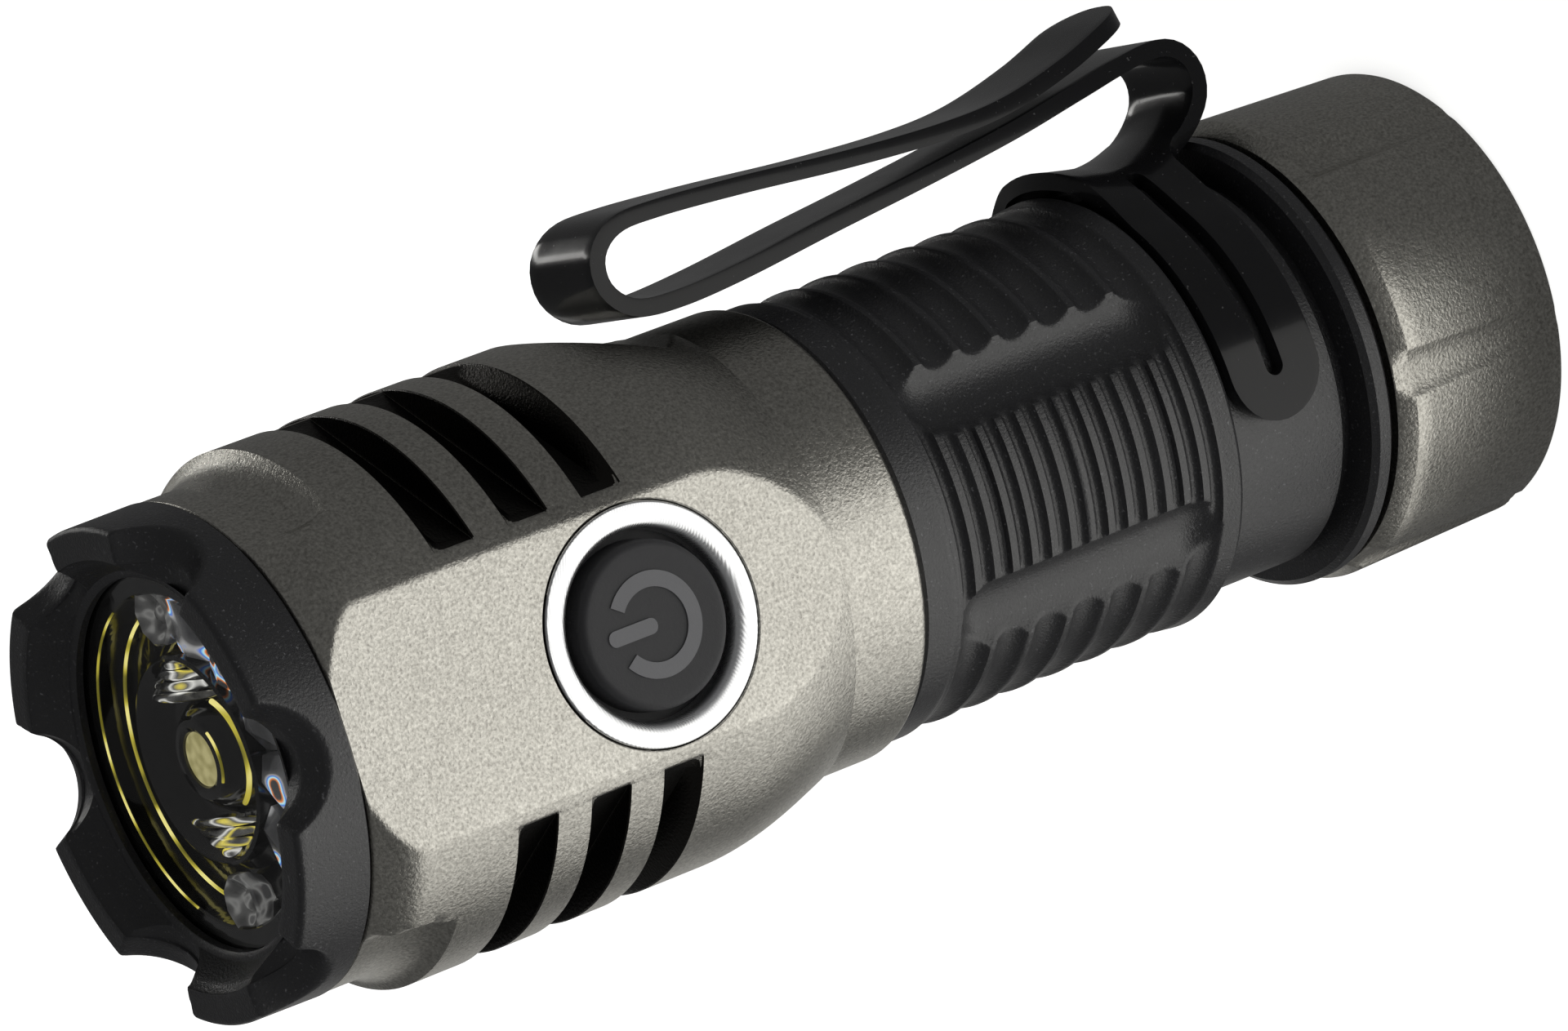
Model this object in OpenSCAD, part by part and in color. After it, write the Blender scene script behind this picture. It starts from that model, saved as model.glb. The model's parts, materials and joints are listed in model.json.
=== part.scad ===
// Pocket flashlight: anodised head with a side switch, threaded battery tube, magnetic tail cap
// and a two-way spring clip. It stands on its tail face, the beam goes up +Z, the switch faces -Y
// and the clip is on +X. All sizes are in millimetres.

/* [Tail cap] */
// Length of the tail cap
cap_len = 10.35; // [10.2:0.05:10.6]
// Radius of the tail cap at its open end
cap_r = 11.65; // [11.5:0.05:12]
// Radius of the tail cap at the tail face
cap_tail_r = 11.4; // [11:0.05:11.6]
// Grip flutes round the tail cap
flute_count = 6; // [3:1:9]
// Depth of each flute
flute_depth = 0.35; // [0.1:0.05:0.5]

/* [Battery tube] */
// Radius over the grip rings
grip_r = 10.8; // [10.6:0.05:11]
// Radius of the plain bands at both ends of the grip
band_r = 10.9; // [10.7:0.05:11.2]
// Inner radius, which the cell slides in
tube_bore_r = 8.6; // [8.5:0.05:8.7]
// Height at which the grip rings start
grip_z0 = 20.7; // [20:0.1:22]
// Height at which the grip rings end
grip_z1 = 36.7; // [35:0.1:37.2]
// Pitch of the fine rings on the thumb side
fine_pitch = 1.14; // [1:0.02:1.3]
// Pitch of the coarse scallops on the other sides
coarse_pitch = 2.28; // [2:0.04:2.6]
// Radius of the seat that the clip snaps on
seat_r = 9.95; // [9.8:0.05:10]
// Radius of the flange above the tail cap
flange_r = 11.3; // [11:0.05:11.5]
// Turn of the tube against the head when it is tight
tube_clock = -3; // [-10:1:10]

/* [Head] */
// Height of the head's rear edge
head_z0 = 38.9; // [38.8:0.1:39]
// Radius of the plain collar at the rear of the head
collar_r = 11.25; // [11.1:0.05:11.4]
// Radius over the cooling fins
head_r = 13; // [12.8:0.05:13.3]
// Radius of the front rim, where the bezel starts
rim_r = 12; // [11.9:0.05:12.2]
// Height of the front rim
rim_z = 70.74; // [70.5:0.02:71]
// Distance of the switch flat from the axis
flat_y = 11.65; // [11.5:0.05:11.9]
// Rows of cooling slots
slot_rows = 3; // [1:1:3]
// Width of a cooling slot
slot_w = 2.1; // [1.5:0.1:2.4]
// Pitch of the cooling slots
slot_pitch = 4.06; // [3.6:0.02:4.2]
// Distance of a slot's flat floor from the axis
slot_floor = 11.2; // [10.9:0.05:12]

/* [Bezel] */
// Radius of the bezel
bezel_r = 11.9; // [11.7:0.05:12]
// Length of the bezel in front of the rim
bezel_len = 3.86; // [3.6:0.02:4.2]
// Notches in the crown
notch_count = 6; // [3:1:8]
// Radius of a notch at the outside of the crown
notch_r = 3.3; // [2.6:0.1:3.6]

/* [Switch] */
// Height of the switch's centre
switch_z = 54; // [53.6:0.1:54.4]
// Radius of the bright ring
ring_r = 5.65; // [5.4:0.05:5.8]
// Radius of the ring's opening
ring_in_r = 4.4; // [4.2:0.05:4.5]
// Radius of the button
button_r = 3.95; // [3.6:0.05:4]
// Travel of the button
button_travel = 0.5; // [0.3:0.05:0.5]

/* [Clip] */
// Thickness of the clip's spring steel
clip_t = 0.85; // [0.7:0.05:0.9]
// Width of the clip's strip
clip_w = 5.5; // [4:0.1:6]
// Width of the clamp band round the tube
clip_band_w = 5.2; // [4.4:0.1:5.6]
// Angle that each clamp arm reaches from the strip
clip_arm = 86; // [75:1:88]

/* [Optics] */
// Radius of the clear window
window_r = 9.45; // [9.2:0.05:9.5]
// Distance of each small light from the axis
aux_x = 6.9; // [6.8:0.05:7.1]
// Radius of the main lens at its front
tir_r = 5.2; // [4.8:0.1:5.3]

/* [Cell] */
// Radius of the cell in its wrap
cell_r = 8.25; // [8.1:0.05:8.3]
// Length of the cell with its terminal
cell_len = 34.5; // [34:0.1:34.6]

/* [Hidden] */
$fn = 72;
eps = 0.05;
fit = 0.05;                    // radial running clearance
big = 40;

magnet_z = 1.6;
magnet_t = 2;
magnet_r = 6;
contact_z = 3.75;
contact_t = 0.8;
contact_r = 9.5;
tube_z0 = 4.6;                 // the tube's rear end stands on the contact board
cap_thread_z = 8.5;            // top of the cap's thread
thread_r = 9.6;
thread_pitch = 1;
thread_depth = 0.35;
land_r = 10.2;                 // smooth land that carries the tail seal
tail_seal_z = 9.45;
seal_d = 0.8;
flange_z0 = 10.65;
flange_z1 = 11.9;
relief_r = 9.3;                // narrow relief between the flange and the clip's seat
seat_z0 = 12.7;
seat_z1 = 19.6;
tube_z1 = 45.2;
front_land_r = 9.9;
front_land_z = 41;
front_thread_r = 9.5;
head_seal_z = 39.9;

cell_z = 8;
cell_top = cell_z + cell_len;
terminal_h = 1;                // the positive terminal stands this far over the can
terminal_r = 2.9;
wrap_t = 0.12;
insulator_t = 0.25;
spring_wire = 0.35;

collar_z = 43.2;               // top of the collar, foot of the shoulder
shoulder_r = 11.6;
shoulder_z = 49.9;
brow_z = 68.34;                // start of the curve in to the rim
driver_z = 45.3;
driver_t = 1.2;
driver_r = 8.9;
cavity_r = 8.4;
shelf_z0 = 59;
shelf_z1 = 61.6;
front_bore_r = 9.5;
bezel_seat_z = 66.5;
bezel_thread_r = 10.5;
slot_first_z = 62.4;
crown_z = rim_z + bezel_len;

led_board_t = 1.5;
led_board_r = 9.3;
led_z = shelf_z1 + led_board_t;
led_base_t = 0.6;
screw_dirs = [45, 225];        // the two screws that hold the LED board
screw_at = 6.6;
screw_r = 0.95;
wire_y = 6.2;                  // the two LED wires stand on the Y axis
wire_r = 0.5;
optic_plate_z = 70.1;
optic_front_z = 71.2;
window_z = 71.3;
window_t = 1;
lip_z = 72.35;
lip_r = 8.95;
gasket_r = 8.1;

hole_r = 4.93;                 // switch well through the head's wall
ring_t = 1.2;
button_top = 11.95;
button_foot = 9.9;
plunger_top = 9.5;
tact_top = 8.9;
tact_t = 1.4;
plunger_r = 1;
switch_board_y = 7.5;
switch_board_t = 0.8;
button_flange_r = 4.85;

band_z = 16.6;                 // mid height of the clamp band
clip_r = seat_r + 0.03;
// Middle line of the clip's strip as [height, distance from the axis]
clip_line = [
    [20, 11.75], [18.4, 11.4], [16.4, 11.1], [14.2, 11.3], [12.2, 11.95], [10.75, 13.1], [10.55, 14.6], [11.5, 15.75],
    [13.4, 15.95], [17.4, 15.3], [21.6, 14.6], [27, 13.95], [32.9, 13.35], [38.4, 12.75], [42.2, 12.55],
    [44.6, 12.85], [45.85, 14.1], [45.75, 15.7], [44.4, 16.75], [42, 16.88], [37, 16.55], [31, 16],
    [25.6, 15.7], [21.6, 15.85], [17.6, 16.7], [14.6, 17.7], [12.9, 18.15]
];

function at(angle, r) = [r * cos(angle), r * sin(angle)];

// Point on a smooth curve through four neighbouring points, for t from 0 to 1
function curve(a, b, c, d, t) =
    0.5 * (2 * b + (c - a) * t + (2 * a - 5 * b + 4 * c - d) * t * t + (3 * b - a - 3 * c + d) * t * t * t);

function smooth(p, steps) = [
    for (i = [0:len(p) - 2], s = [0:steps - 1])
        curve(p[max(i - 1, 0)], p[i], p[i + 1], p[min(i + 2, len(p) - 1)], s / steps),
    p[len(p) - 1]
];

// Unit vector square to a path at its point i
function side(p, i) =
    let (d = p[min(i + 1, len(p) - 1)] - p[max(i - 1, 0)])
    [-d[1], d[0]] / norm(d);

// Outline of a strip of thickness t that follows a path
function strip(p, t) = concat(
    [for (i = [0:len(p) - 1]) p[i] + side(p, i) * t / 2],
    [for (i = [len(p) - 1:-1:0]) p[i] - side(p, i) * t / 2]
);

// Places its children along a radius that points at an angle, with their +Z outwards
module facing(angle, z) {
    translate([0, 0, z])
        rotate([0, 0, angle])
            rotate([0, 90, 0])
                children();
}

module ring_solid(r_out, r_in, z0, z1) {
    translate([0, 0, z0])
        difference() {
            cylinder(r = r_out, h = z1 - z0);
            translate([0, 0, -eps])
                cylinder(r = r_in, h = z1 - z0 + 2 * eps);
        }
}

module o_ring(r_out, z) {
    translate([0, 0, z])
        rotate_extrude()
            translate([r_out - seal_d / 2, 0])
                circle(d = seal_d, $fn = 24);
}

// V grooves of a thread, as a stack of rings cut from a rod
module thread_grooves(r, z0, z1) {
    for (z = [z0 + thread_pitch / 2:thread_pitch:z1 - thread_pitch / 2])
        translate([0, 0, z])
            rotate_extrude()
                polygon([
                    [r - thread_depth, 0],
                    [r + eps, thread_depth + eps],
                    [r + eps, -thread_depth - eps]
                ]);
}

// Coil of wire that narrows from radius r0 at z0 to r1 at z1, with flat-wound ends
module coil(r0, r1, z0, z1, turns, wire) {
    sides = 8;
    steps = 20;
    n = turns * steps;
    rise = z1 - z0 - 2 * wire;
    function spot(i) =
        let (a = i * 360 / steps, f = min(max((i - steps * 0.7) / (n - steps * 1.4), 0), 1), r = r0 + (r1 - r0) * f)
        [r * cos(a), r * sin(a), z0 + wire + rise * f];
    points = [
        for (i = [0:n], k = [0:sides - 1])
            let (a = i * 360 / steps, c = spot(i), b = k * 360 / sides)
            c + wire * [cos(b) * cos(a), cos(b) * sin(a), sin(b)]
    ];
    walls = [
        for (i = [0:n - 1], k = [0:sides - 1])
            let (m = (k + 1) % sides)
            [i * sides + k, i * sides + m, (i + 1) * sides + m, (i + 1) * sides + k]
    ];
    foot = [for (k = [sides - 1:-1:0]) k];
    tip = [for (k = [0:sides - 1]) n * sides + k];
    polyhedron(points, concat(walls, [foot, tip]));
}

// ---- Tail cap ----

module tail_cap() {
    chamfer = 0.5;
    flute_r = 2.4;
    flute_turn = -40;
    color([0.55, 0.54, 0.5])
        difference() {
            rotate_extrude($fn = 120)
                polygon([
                    [0, 0], [cap_tail_r - chamfer, 0], [cap_tail_r, chamfer], [cap_r, cap_len - 0.9],
                    [cap_r - chamfer, cap_len], [0, cap_len]
                ]);
            translate([0, 0, magnet_z])
                cylinder(r = magnet_r + fit, h = big);
            translate([0, 0, contact_z - eps])
                cylinder(r = thread_r + fit, h = big);
            translate([0, 0, cap_thread_z])
                cylinder(r = land_r + fit, h = big);
            for (i = [0:flute_count - 1])
                rotate([0, 0, flute_turn + i * 360 / flute_count])
                    translate([cap_r + flute_r - flute_depth, 0, -eps])
                        cylinder(r = flute_r, h = cap_len + 2 * eps, $fn = 48);
        }
}

module tail_magnet() {
    color("silver")
        translate([0, 0, magnet_z])
            cylinder(r = magnet_r, h = magnet_t);
}

module tail_contact_board() {
    color("darkgreen")
        translate([0, 0, contact_z])
            cylinder(r = contact_r, h = contact_t);
}

module tail_spring() {
    foot_r = 5.4;
    tip_r = 3.2;
    turns = 4;
    color("gold")
        coil(foot_r, tip_r, contact_z + contact_t, cell_z, turns, spring_wire);
}

// ---- Cell ----

module cell_can() {
    color("lightgray")
        translate([0, 0, cell_z])
            cylinder(r = cell_r - wrap_t - 0.03, h = cell_len - terminal_h);
}

module cell_wrap() {
    color("dimgray")
        ring_solid(cell_r, cell_r - wrap_t, cell_z + 0.3, cell_top - terminal_h + eps);
}

module cell_insulator() {
    color("white")
        ring_solid(cell_r - 0.2, terminal_r + 0.4, cell_top - terminal_h, cell_top - terminal_h + insulator_t);
}

module cell_positive() {
    color("silver")
        translate([0, 0, cell_top - terminal_h])
            cylinder(r = terminal_r, h = terminal_h);
}

// ---- Battery tube ----

module tube_body() {
    edge = 0.35;
    rotate_extrude($fn = 144)
        polygon([
            [tube_bore_r, tube_z0], [thread_r - edge, tube_z0], [thread_r, tube_z0 + edge],
            [thread_r, cap_thread_z + fit], [land_r, cap_thread_z + edge + 0.1], [land_r, flange_z0],
            [flange_r - edge, flange_z0], [flange_r, flange_z0 + edge], [flange_r, flange_z1 - edge],
            [flange_r - edge, flange_z1], [relief_r, flange_z1], [relief_r, seat_z0], [seat_r, seat_z0],
            [seat_r, seat_z1], [band_r - edge, seat_z1], [band_r, seat_z1 + edge], [grip_r, grip_z0],
            [grip_r, grip_z1], [band_r, grip_z1 + edge], [band_r, head_z0 - edge], [band_r - edge, head_z0],
            [front_land_r, head_z0], [front_land_r, front_land_z - edge], [front_thread_r, front_land_z],
            [front_thread_r, tube_z1], [tube_bore_r, tube_z1]
        ]);
}

// Rings of round grooves over one sector of the grip
module grip_rings(from, to, pitch, r, depth) {
    count = floor((grip_z1 - grip_z0) / pitch);
    rotate([0, 0, from])
        rotate_extrude(angle = to - from, $fn = 120)
            for (i = [0:count - 1])
                translate([grip_r + r - depth, grip_z0 + (i + 0.5) * (grip_z1 - grip_z0) / count])
                    circle(r = r, $fn = 20);
}

// Long dished groove with round ends, cut along the grip
module grip_flute(angle) {
    r = 2.4;
    sink = 1.1;
    inset = 2.2;
    rotate([0, 0, angle])
        translate([grip_r + r - sink, 0, 0]) {
            translate([0, 0, grip_z0 + inset])
                cylinder(r = r, h = grip_z1 - grip_z0 - 2 * inset, $fn = 48);
            for (z = [grip_z0 + inset, grip_z1 - inset])
                translate([0, 0, z])
                    sphere(r = r, $fn = 48);
        }
}

// Groove that holds an O-ring, a little wider and deeper than the ring
module seal_groove(r, z) {
    room = seal_d / 2 + 0.08;
    ring_solid(r + eps, r - seal_d - 0.03, z - room, z + room);
}

module battery_tube() {
    thumb = 90;                // the fine rings lie on the switch side and opposite it
    fine_half = 25;
    fine_r = 0.42;
    fine_depth = 0.4;
    coarse_from = 34;
    coarse_r = 1.25;
    coarse_depth = 0.45;
    flute_at = 29.5;
    color([0.1, 0.1, 0.11])
        difference() {
            tube_body();
            seal_groove(land_r, tail_seal_z);
            seal_groove(front_land_r, head_seal_z);
            thread_grooves(thread_r, tube_z0, cap_thread_z);
            rotate([0, 0, tube_clock])
                for (half = [-thumb, thumb]) {
                    grip_rings(half - fine_half, half + fine_half, fine_pitch, fine_r, fine_depth);
                    grip_rings(half + coarse_from, half + 180 - coarse_from, coarse_pitch, coarse_r, coarse_depth);
                    for (turn = [-flute_at, flute_at])
                        grip_flute(half + turn);
                }
        }
}

module tail_o_ring() {
    color("black")
        o_ring(land_r + 0.03, tail_seal_z);
}

module head_o_ring() {
    color("black")
        o_ring(front_land_r + 0.03, head_seal_z);
}

// ---- Head ----

function shoulder(f) = [
    shoulder_r + (head_r - shoulder_r) * sin(90 * f),
    collar_z + 0.2 + (shoulder_z - collar_z - 0.2) * f
];

function brow(f) = [rim_r + (head_r - rim_r) * sin(90 * f), rim_z - (rim_z - brow_z) * f];

module head_blank() {
    edge = 0.4;
    steps = 12;
    rotate_extrude($fn = 144)
        polygon(concat(
            [[0, head_z0], [collar_r - edge, head_z0], [collar_r, head_z0 + edge], [collar_r, collar_z]],
            [for (i = [0:steps]) shoulder(i / steps)],
            [for (i = [steps:-1:0]) brow(i / steps)],
            [[0, rim_z]]
        ));
}

// One row of slots with flat floors, milled round the head from one edge of the switch flat to the other
module slot_row(z) {
    start = -64;
    bend = 60;
    last = 180 - start;
    floor_line = concat(
        [at(start, slot_floor / cos(start + bend / 2))],
        [for (angle = [0:bend:180]) at(angle, slot_floor / cos(bend / 2))],
        [at(last, slot_floor / cos(start + bend / 2))]
    );
    outside = [for (angle = [last, 180, 120, 60, 0, start]) at(angle, big / 2)];
    translate([0, 0, z - slot_w / 2])
        linear_extrude(slot_w)
            polygon(concat(floor_line, outside));
}

// Shallow scoop at the front edge, square to the switch
module front_scoop(angle) {
    half = 42;
    low = 66.4;
    floor_r = rim_r - 0.12;
    top = rim_z + 1;
    bend_z = brow_z + 0.3;
    run_out = 1.3;             // how far the rear of the scoop curves out to the head
    steps = 6;
    turn = 90 / steps;
    rotate([0, 0, angle - half])
        rotate_extrude(angle = 2 * half, $fn = 144)
            polygon(concat(
                [[floor_r, top], [floor_r, bend_z]],
                [
                    for (i = [1:steps])
                        [floor_r + run_out * (1 - cos(turn * i)), bend_z - (bend_z - low) * sin(turn * i)]
                ],
                [[head_r + 1, low], [head_r + 1, top]]
            ));
}

// Valley that clears the clip's front loop
module clip_valley() {
    reach = 12;
    foot = [11.5, 41.2];
    deep = [10.9, 45.2];
    brim = [13.3, 51.03];
    out = head_r + 3;
    translate([0, reach, 0])
        rotate([90, 0, 0])
            linear_extrude(2 * reach)
                polygon([brim, deep, foot, [out, foot[1]], [out, brim[1]]]);
}

module head_shell() {
    wire_hole_r = 0.9;
    color([0.55, 0.54, 0.5])
        difference() {
            head_blank();
            translate([-big / 2, -flat_y - big, 0])
                cube([big, big, 100]);
            for (i = [0:slot_rows - 1])
                slot_row(slot_first_z - i * slot_pitch);
            for (angle = [0, 180])
                front_scoop(angle);
            clip_valley();
            translate([0, 0, head_z0 - eps])
                cylinder(r = front_land_r + fit, h = front_land_z + 0.1 - head_z0 + eps);
            translate([0, 0, head_z0])
                cylinder(r = front_thread_r + fit, h = driver_z - head_z0);
            translate([0, 0, head_z0])
                cylinder(r = driver_r + fit, h = driver_z + driver_t + 0.1 - head_z0);
            translate([0, 0, head_z0])
                cylinder(r = cavity_r, h = shelf_z0 - head_z0);
            translate([0, 0, shelf_z1])
                cylinder(r = front_bore_r, h = big);
            translate([0, 0, bezel_seat_z])
                cylinder(r = bezel_thread_r, h = big);
            for (y = [-wire_y, wire_y])
                translate([0, y, shelf_z0 - 1])
                    cylinder(r = wire_hole_r, h = 4);
            for (angle = screw_dirs)
                translate([screw_at * cos(angle), screw_at * sin(angle), shelf_z1 - 2])
                    cylinder(r = screw_r, h = 4);
            facing(-90, switch_z)
                translate([0, 0, cavity_r - 2])
                    cylinder(r = hole_r, h = 10);
            facing(-90, switch_z)
                translate([0, 0, flat_y - ring_t])
                    cylinder(r = ring_r + fit, h = 5);
        }
}

// ---- Bezel and window ----

module bezel_ring() {
    edge = 0.5;
    mouth_r = 10.3;
    rotate_extrude($fn = 144)
        polygon([
            [front_bore_r, bezel_seat_z + 0.1], [bezel_thread_r - fit, bezel_seat_z + 0.1],
            [bezel_thread_r - fit, rim_z + 0.02], [bezel_r + 0.05, rim_z + 0.02], [bezel_r - 0.05, rim_z + 1.5],
            [bezel_r, crown_z - edge], [bezel_r - 0.15, crown_z - 0.15], [bezel_r - edge, crown_z],
            [mouth_r + 0.2, crown_z], [mouth_r, crown_z - 0.2], [lip_r + 0.5, lip_z + 0.9],
            [lip_r, lip_z + 0.5], [lip_r, lip_z], [front_bore_r, lip_z]
        ]);
}

module bezel() {
    first_turn = -90;
    notch_rise = 0.9;          // height of a notch's centre over the crown
    notch_from = 8.6;
    taper = 0.6;
    color([0.12, 0.12, 0.13])
        difference() {
            bezel_ring();
            for (i = [0:notch_count - 1])
                facing(first_turn + i * 360 / notch_count, crown_z + notch_rise)
                    translate([0, 0, notch_from])
                        cylinder(r1 = notch_r + eps - taper, r2 = notch_r + eps, h = 4, $fn = 48);
        }
}

module window_gasket() {
    color("black")
        ring_solid(window_r, gasket_r, optic_plate_z + 0.6, window_z);
}

module lens_window() {
    color("lightcyan", 0.4)
        translate([0, 0, window_z])
            cylinder(r = window_r, h = window_t);
}

// ---- Optics and light engine ----

module optic() {
    cup_r = 1.9;
    cup_h = 2;
    foot_z = led_z + 1.1;
    foot_r = 2.9;
    well_r = 3;
    well_depth = 1.6;
    plate_r = 9.3;
    plate_t = 0.55;
    aux_rear_r = 0.8;
    aux_front_r = 1.35;
    color("white", 0.5)
        union() {
            rotate_extrude()
                polygon([
                    [cup_r, foot_z], [foot_r, foot_z], [4.1, foot_z + 1.6], [4.9, foot_z + 3.6],
                    [tir_r, optic_plate_z], [plate_r, optic_plate_z], [plate_r, optic_plate_z + plate_t],
                    [gasket_r - 0.1, optic_plate_z + plate_t], [gasket_r - 0.1, optic_front_z],
                    [well_r, optic_front_z], [well_r, optic_front_z - well_depth], [2.2, optic_front_z - 0.9],
                    [1.2, optic_front_z - 0.55], [0, optic_front_z - 0.45], [0, foot_z + cup_h + 0.6],
                    [1.1, foot_z + cup_h + 0.3], [cup_r, foot_z + cup_h]
                ]);
            for (x = [-aux_x, aux_x])
                translate([x, 0, led_z + 0.8])
                    cylinder(r1 = aux_rear_r, r2 = aux_front_r, h = optic_plate_z - led_z - 0.7, $fn = 40);
        }
}

module optic_holder() {
    color("black")
        ring_solid(front_bore_r - fit, 8.6, led_z + 0.02, optic_plate_z);
}

module led_board() {
    color("white")
        difference() {
            translate([0, 0, shelf_z1])
                cylinder(r = led_board_r, h = led_board_t);
            for (angle = screw_dirs)
                translate([screw_at * cos(angle), screw_at * sin(angle), shelf_z1 - 1])
                    cylinder(r = screw_r + fit, h = 4);
            for (y = [-wire_y, wire_y])
                translate([0, y, shelf_z1 - 1])
                    cylinder(r = wire_r + fit, h = 4);
        }
}

module main_led() {
    base = 3.45;
    color("khaki")
        translate([-base / 2, -base / 2, led_z])
            cube([base, base, led_base_t]);
}

module main_led_dome() {
    dome_r = 1.45;
    color("gold")
        translate([0, 0, led_z + led_base_t])
            intersection() {
                sphere(r = dome_r);
                cylinder(r = dome_r + 1, h = dome_r + 1);
            }
}

module aux_leds() {
    base = 1.6;
    color("ivory")
        for (x = [-aux_x, aux_x])
            translate([x - base / 2, -base / 2, led_z])
                cube([base, base, led_base_t]);
}

module led_board_screws() {
    head_d = 3.2;
    head_t = 1;
    cross = [2, 0.4];          // length and width of the cross slot
    color("silver")
        for (angle = screw_dirs)
            translate([screw_at * cos(angle), screw_at * sin(angle), 0]) {
                translate([0, 0, shelf_z1 - 1.8])
                    cylinder(r = screw_r - 0.03, h = led_board_t + 1.9);
                translate([0, 0, led_z])
                    difference() {
                        cylinder(d = head_d, h = head_t);
                        for (turn = [0, 90])
                            rotate([0, 0, turn])
                                translate([-cross[0] / 2, -cross[1] / 2, head_t - 0.4])
                                    cube([cross[0], cross[1], 1]);
                    }
            }
}

module led_wires() {
    color("crimson")
        for (y = [-wire_y, wire_y])
            translate([0, y, 0]) {
                translate([0, 0, driver_z + driver_t])
                    cylinder(r = wire_r, h = led_z + 0.4 - driver_z - driver_t, $fn = 24);
                translate([0, 0, led_z])
                    cylinder(r1 = 0.95, r2 = 0.5, h = 0.5, $fn = 24);
            }
}

// ---- Driver ----

module driver_board() {
    color("darkgreen")
        translate([0, 0, driver_z])
            cylinder(r = driver_r, h = driver_t);
}

module driver_inductor() {
    w = 4.4;
    h = 2.4;
    dish_r = 1.3;
    color("dimgray")
        translate([2.2, 0.6, driver_z + driver_t])
            difference() {
                cube([w, w, h]);
                translate([w / 2, w / 2, h - 0.4])
                    cylinder(r = dish_r, h = 1);
            }
}

module driver_chips() {
    top = driver_z + driver_t;
    chip = [3.4, 3.4, 0.9];
    small = [1, 1.8, 0.8];
    pitch = 1.6;
    color("black") {
        translate([-5.4, -1.5, top])
            cube(chip);
        for (i = [0:2])
            translate([-4.8 + i * pitch, 3.4, top])
                cube(small);
    }
}

module front_spring() {
    foot_r = 2.2;
    tip_r = 3.4;
    turns = 3;
    color("gold")
        coil(foot_r, tip_r, cell_top + 0.02, driver_z, turns, spring_wire);
}

// ---- Switch ----

module switch_board() {
    w = 7;
    low = 48.4;
    color("darkgreen")
        translate([-w / 2, -switch_board_y, low])
            cube([w, switch_board_t, shelf_z0 - 0.1 - low]);
}

module switch_ribbon() {
    w = 2.2;
    thick = 0.2;
    tall = 5;
    beside_wire = 0.8;
    color("orange")
        translate([beside_wire, -switch_board_y + switch_board_t, driver_z + driver_t])
            cube([w, thick, tall]);
}

module switch_body() {
    w = 5.2;
    color("gray")
        facing(-90, switch_z)
            difference() {
                translate([-w / 2, -w / 2, tact_top - tact_t])
                    cube([w, w, tact_t]);
                translate([0, 0, tact_top - 0.9])
                    cylinder(r = plunger_r + fit, h = 2);
            }
}

module switch_ring() {
    color("white")
        facing(-90, switch_z)
            difference() {
                translate([0, 0, flat_y - ring_t + 0.02])
                    cylinder(r = ring_r, h = ring_t + 0.05);
                cylinder(r = ring_in_r, h = 20);
            }
}

module button() {
    soft = 0.35;
    stem_r = 1.2;
    flange_top = flat_y - ring_t - 0.08;
    color([0.08, 0.08, 0.09])
        facing(-90, switch_z)
            rotate_extrude()
                polygon([
                    [0, plunger_top + 0.05], [stem_r, plunger_top + 0.05], [stem_r, button_foot],
                    [button_flange_r, button_foot], [button_flange_r, flange_top], [button_r, flange_top],
                    [button_r, button_top - soft],
                    [button_r - 0.1, button_top - 0.1], [button_r - soft, button_top], [0, button_top]
                ]);
}

// Power mark: a ring open towards the beam, with a bar in the opening
module button_symbol() {
    mark_r = 1.75;
    stroke = 0.5;
    opening = 75;
    raise = 0.06;
    bar_start = 0.2;
    bar_end = 2.1;
    color([0.25, 0.25, 0.26])
        facing(-90, switch_z)
            translate([0, 0, button_top]) {
                rotate([0, 0, 180 + opening / 2])
                    rotate_extrude(angle = 360 - opening)
                        translate([mark_r - stroke / 2, 0])
                            square([stroke, raise]);
                translate([-bar_end, -stroke / 2, 0])
                    cube([bar_end - bar_start, stroke, raise]);
            }
}

module switch_plunger() {
    color("black")
        facing(-90, switch_z)
            translate([0, 0, tact_top - 0.3])
                cylinder(r = plunger_r, h = plunger_top - tact_top + 0.3);
}

// ---- Clip ----

// One clamp arm: a round-ended band with a slot along it
module clip_arm_cut(dir) {
    slot_r = 0.5;
    slot_from = 22;
    translate([0, 0, band_z])
        rotate([0, 0, dir > 0 ? slot_from : -clip_arm])
            rotate_extrude(angle = clip_arm - slot_from, $fn = 144)
                translate([clip_r - 1, -slot_r])
                    square([clip_t + 2, 2 * slot_r]);
    facing(dir * clip_arm, band_z)
        cylinder(r = slot_r, h = big / 2, $fn = 24);
    facing(dir * slot_from, band_z)
        cylinder(r = slot_r, h = big / 2, $fn = 24);
}

module clip_band() {
    half = clip_band_w / 2;
    difference() {
        union() {
            rotate([0, 0, -clip_arm])
                rotate_extrude(angle = 2 * clip_arm, $fn = 144)
                    translate([clip_r, band_z - half])
                        square([clip_t, clip_band_w]);
            for (dir = [-1, 1])
                intersection() {
                    facing(dir * clip_arm, band_z)
                        cylinder(r = half, h = big / 2, $fn = 48);
                    ring_solid(clip_r + clip_t, clip_r, band_z - half, band_z + half);
                }
        }
        for (dir = [-1, 1])
            clip_arm_cut(dir);
    }
}

module clip_strip() {
    steps = 4;
    line = [for (p = clip_line) [p[1], p[0]]];
    translate([0, clip_w / 2, 0])
        rotate([90, 0, 0])
            linear_extrude(clip_w)
                polygon(strip(smooth(line, steps), clip_t));
}

module pocket_clip() {
    color([0.06, 0.06, 0.07])
        union() {
            clip_band();
            difference() {
                clip_strip();
                cylinder(r = clip_r, h = 30, $fn = 144);
            }
        }
}

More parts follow.
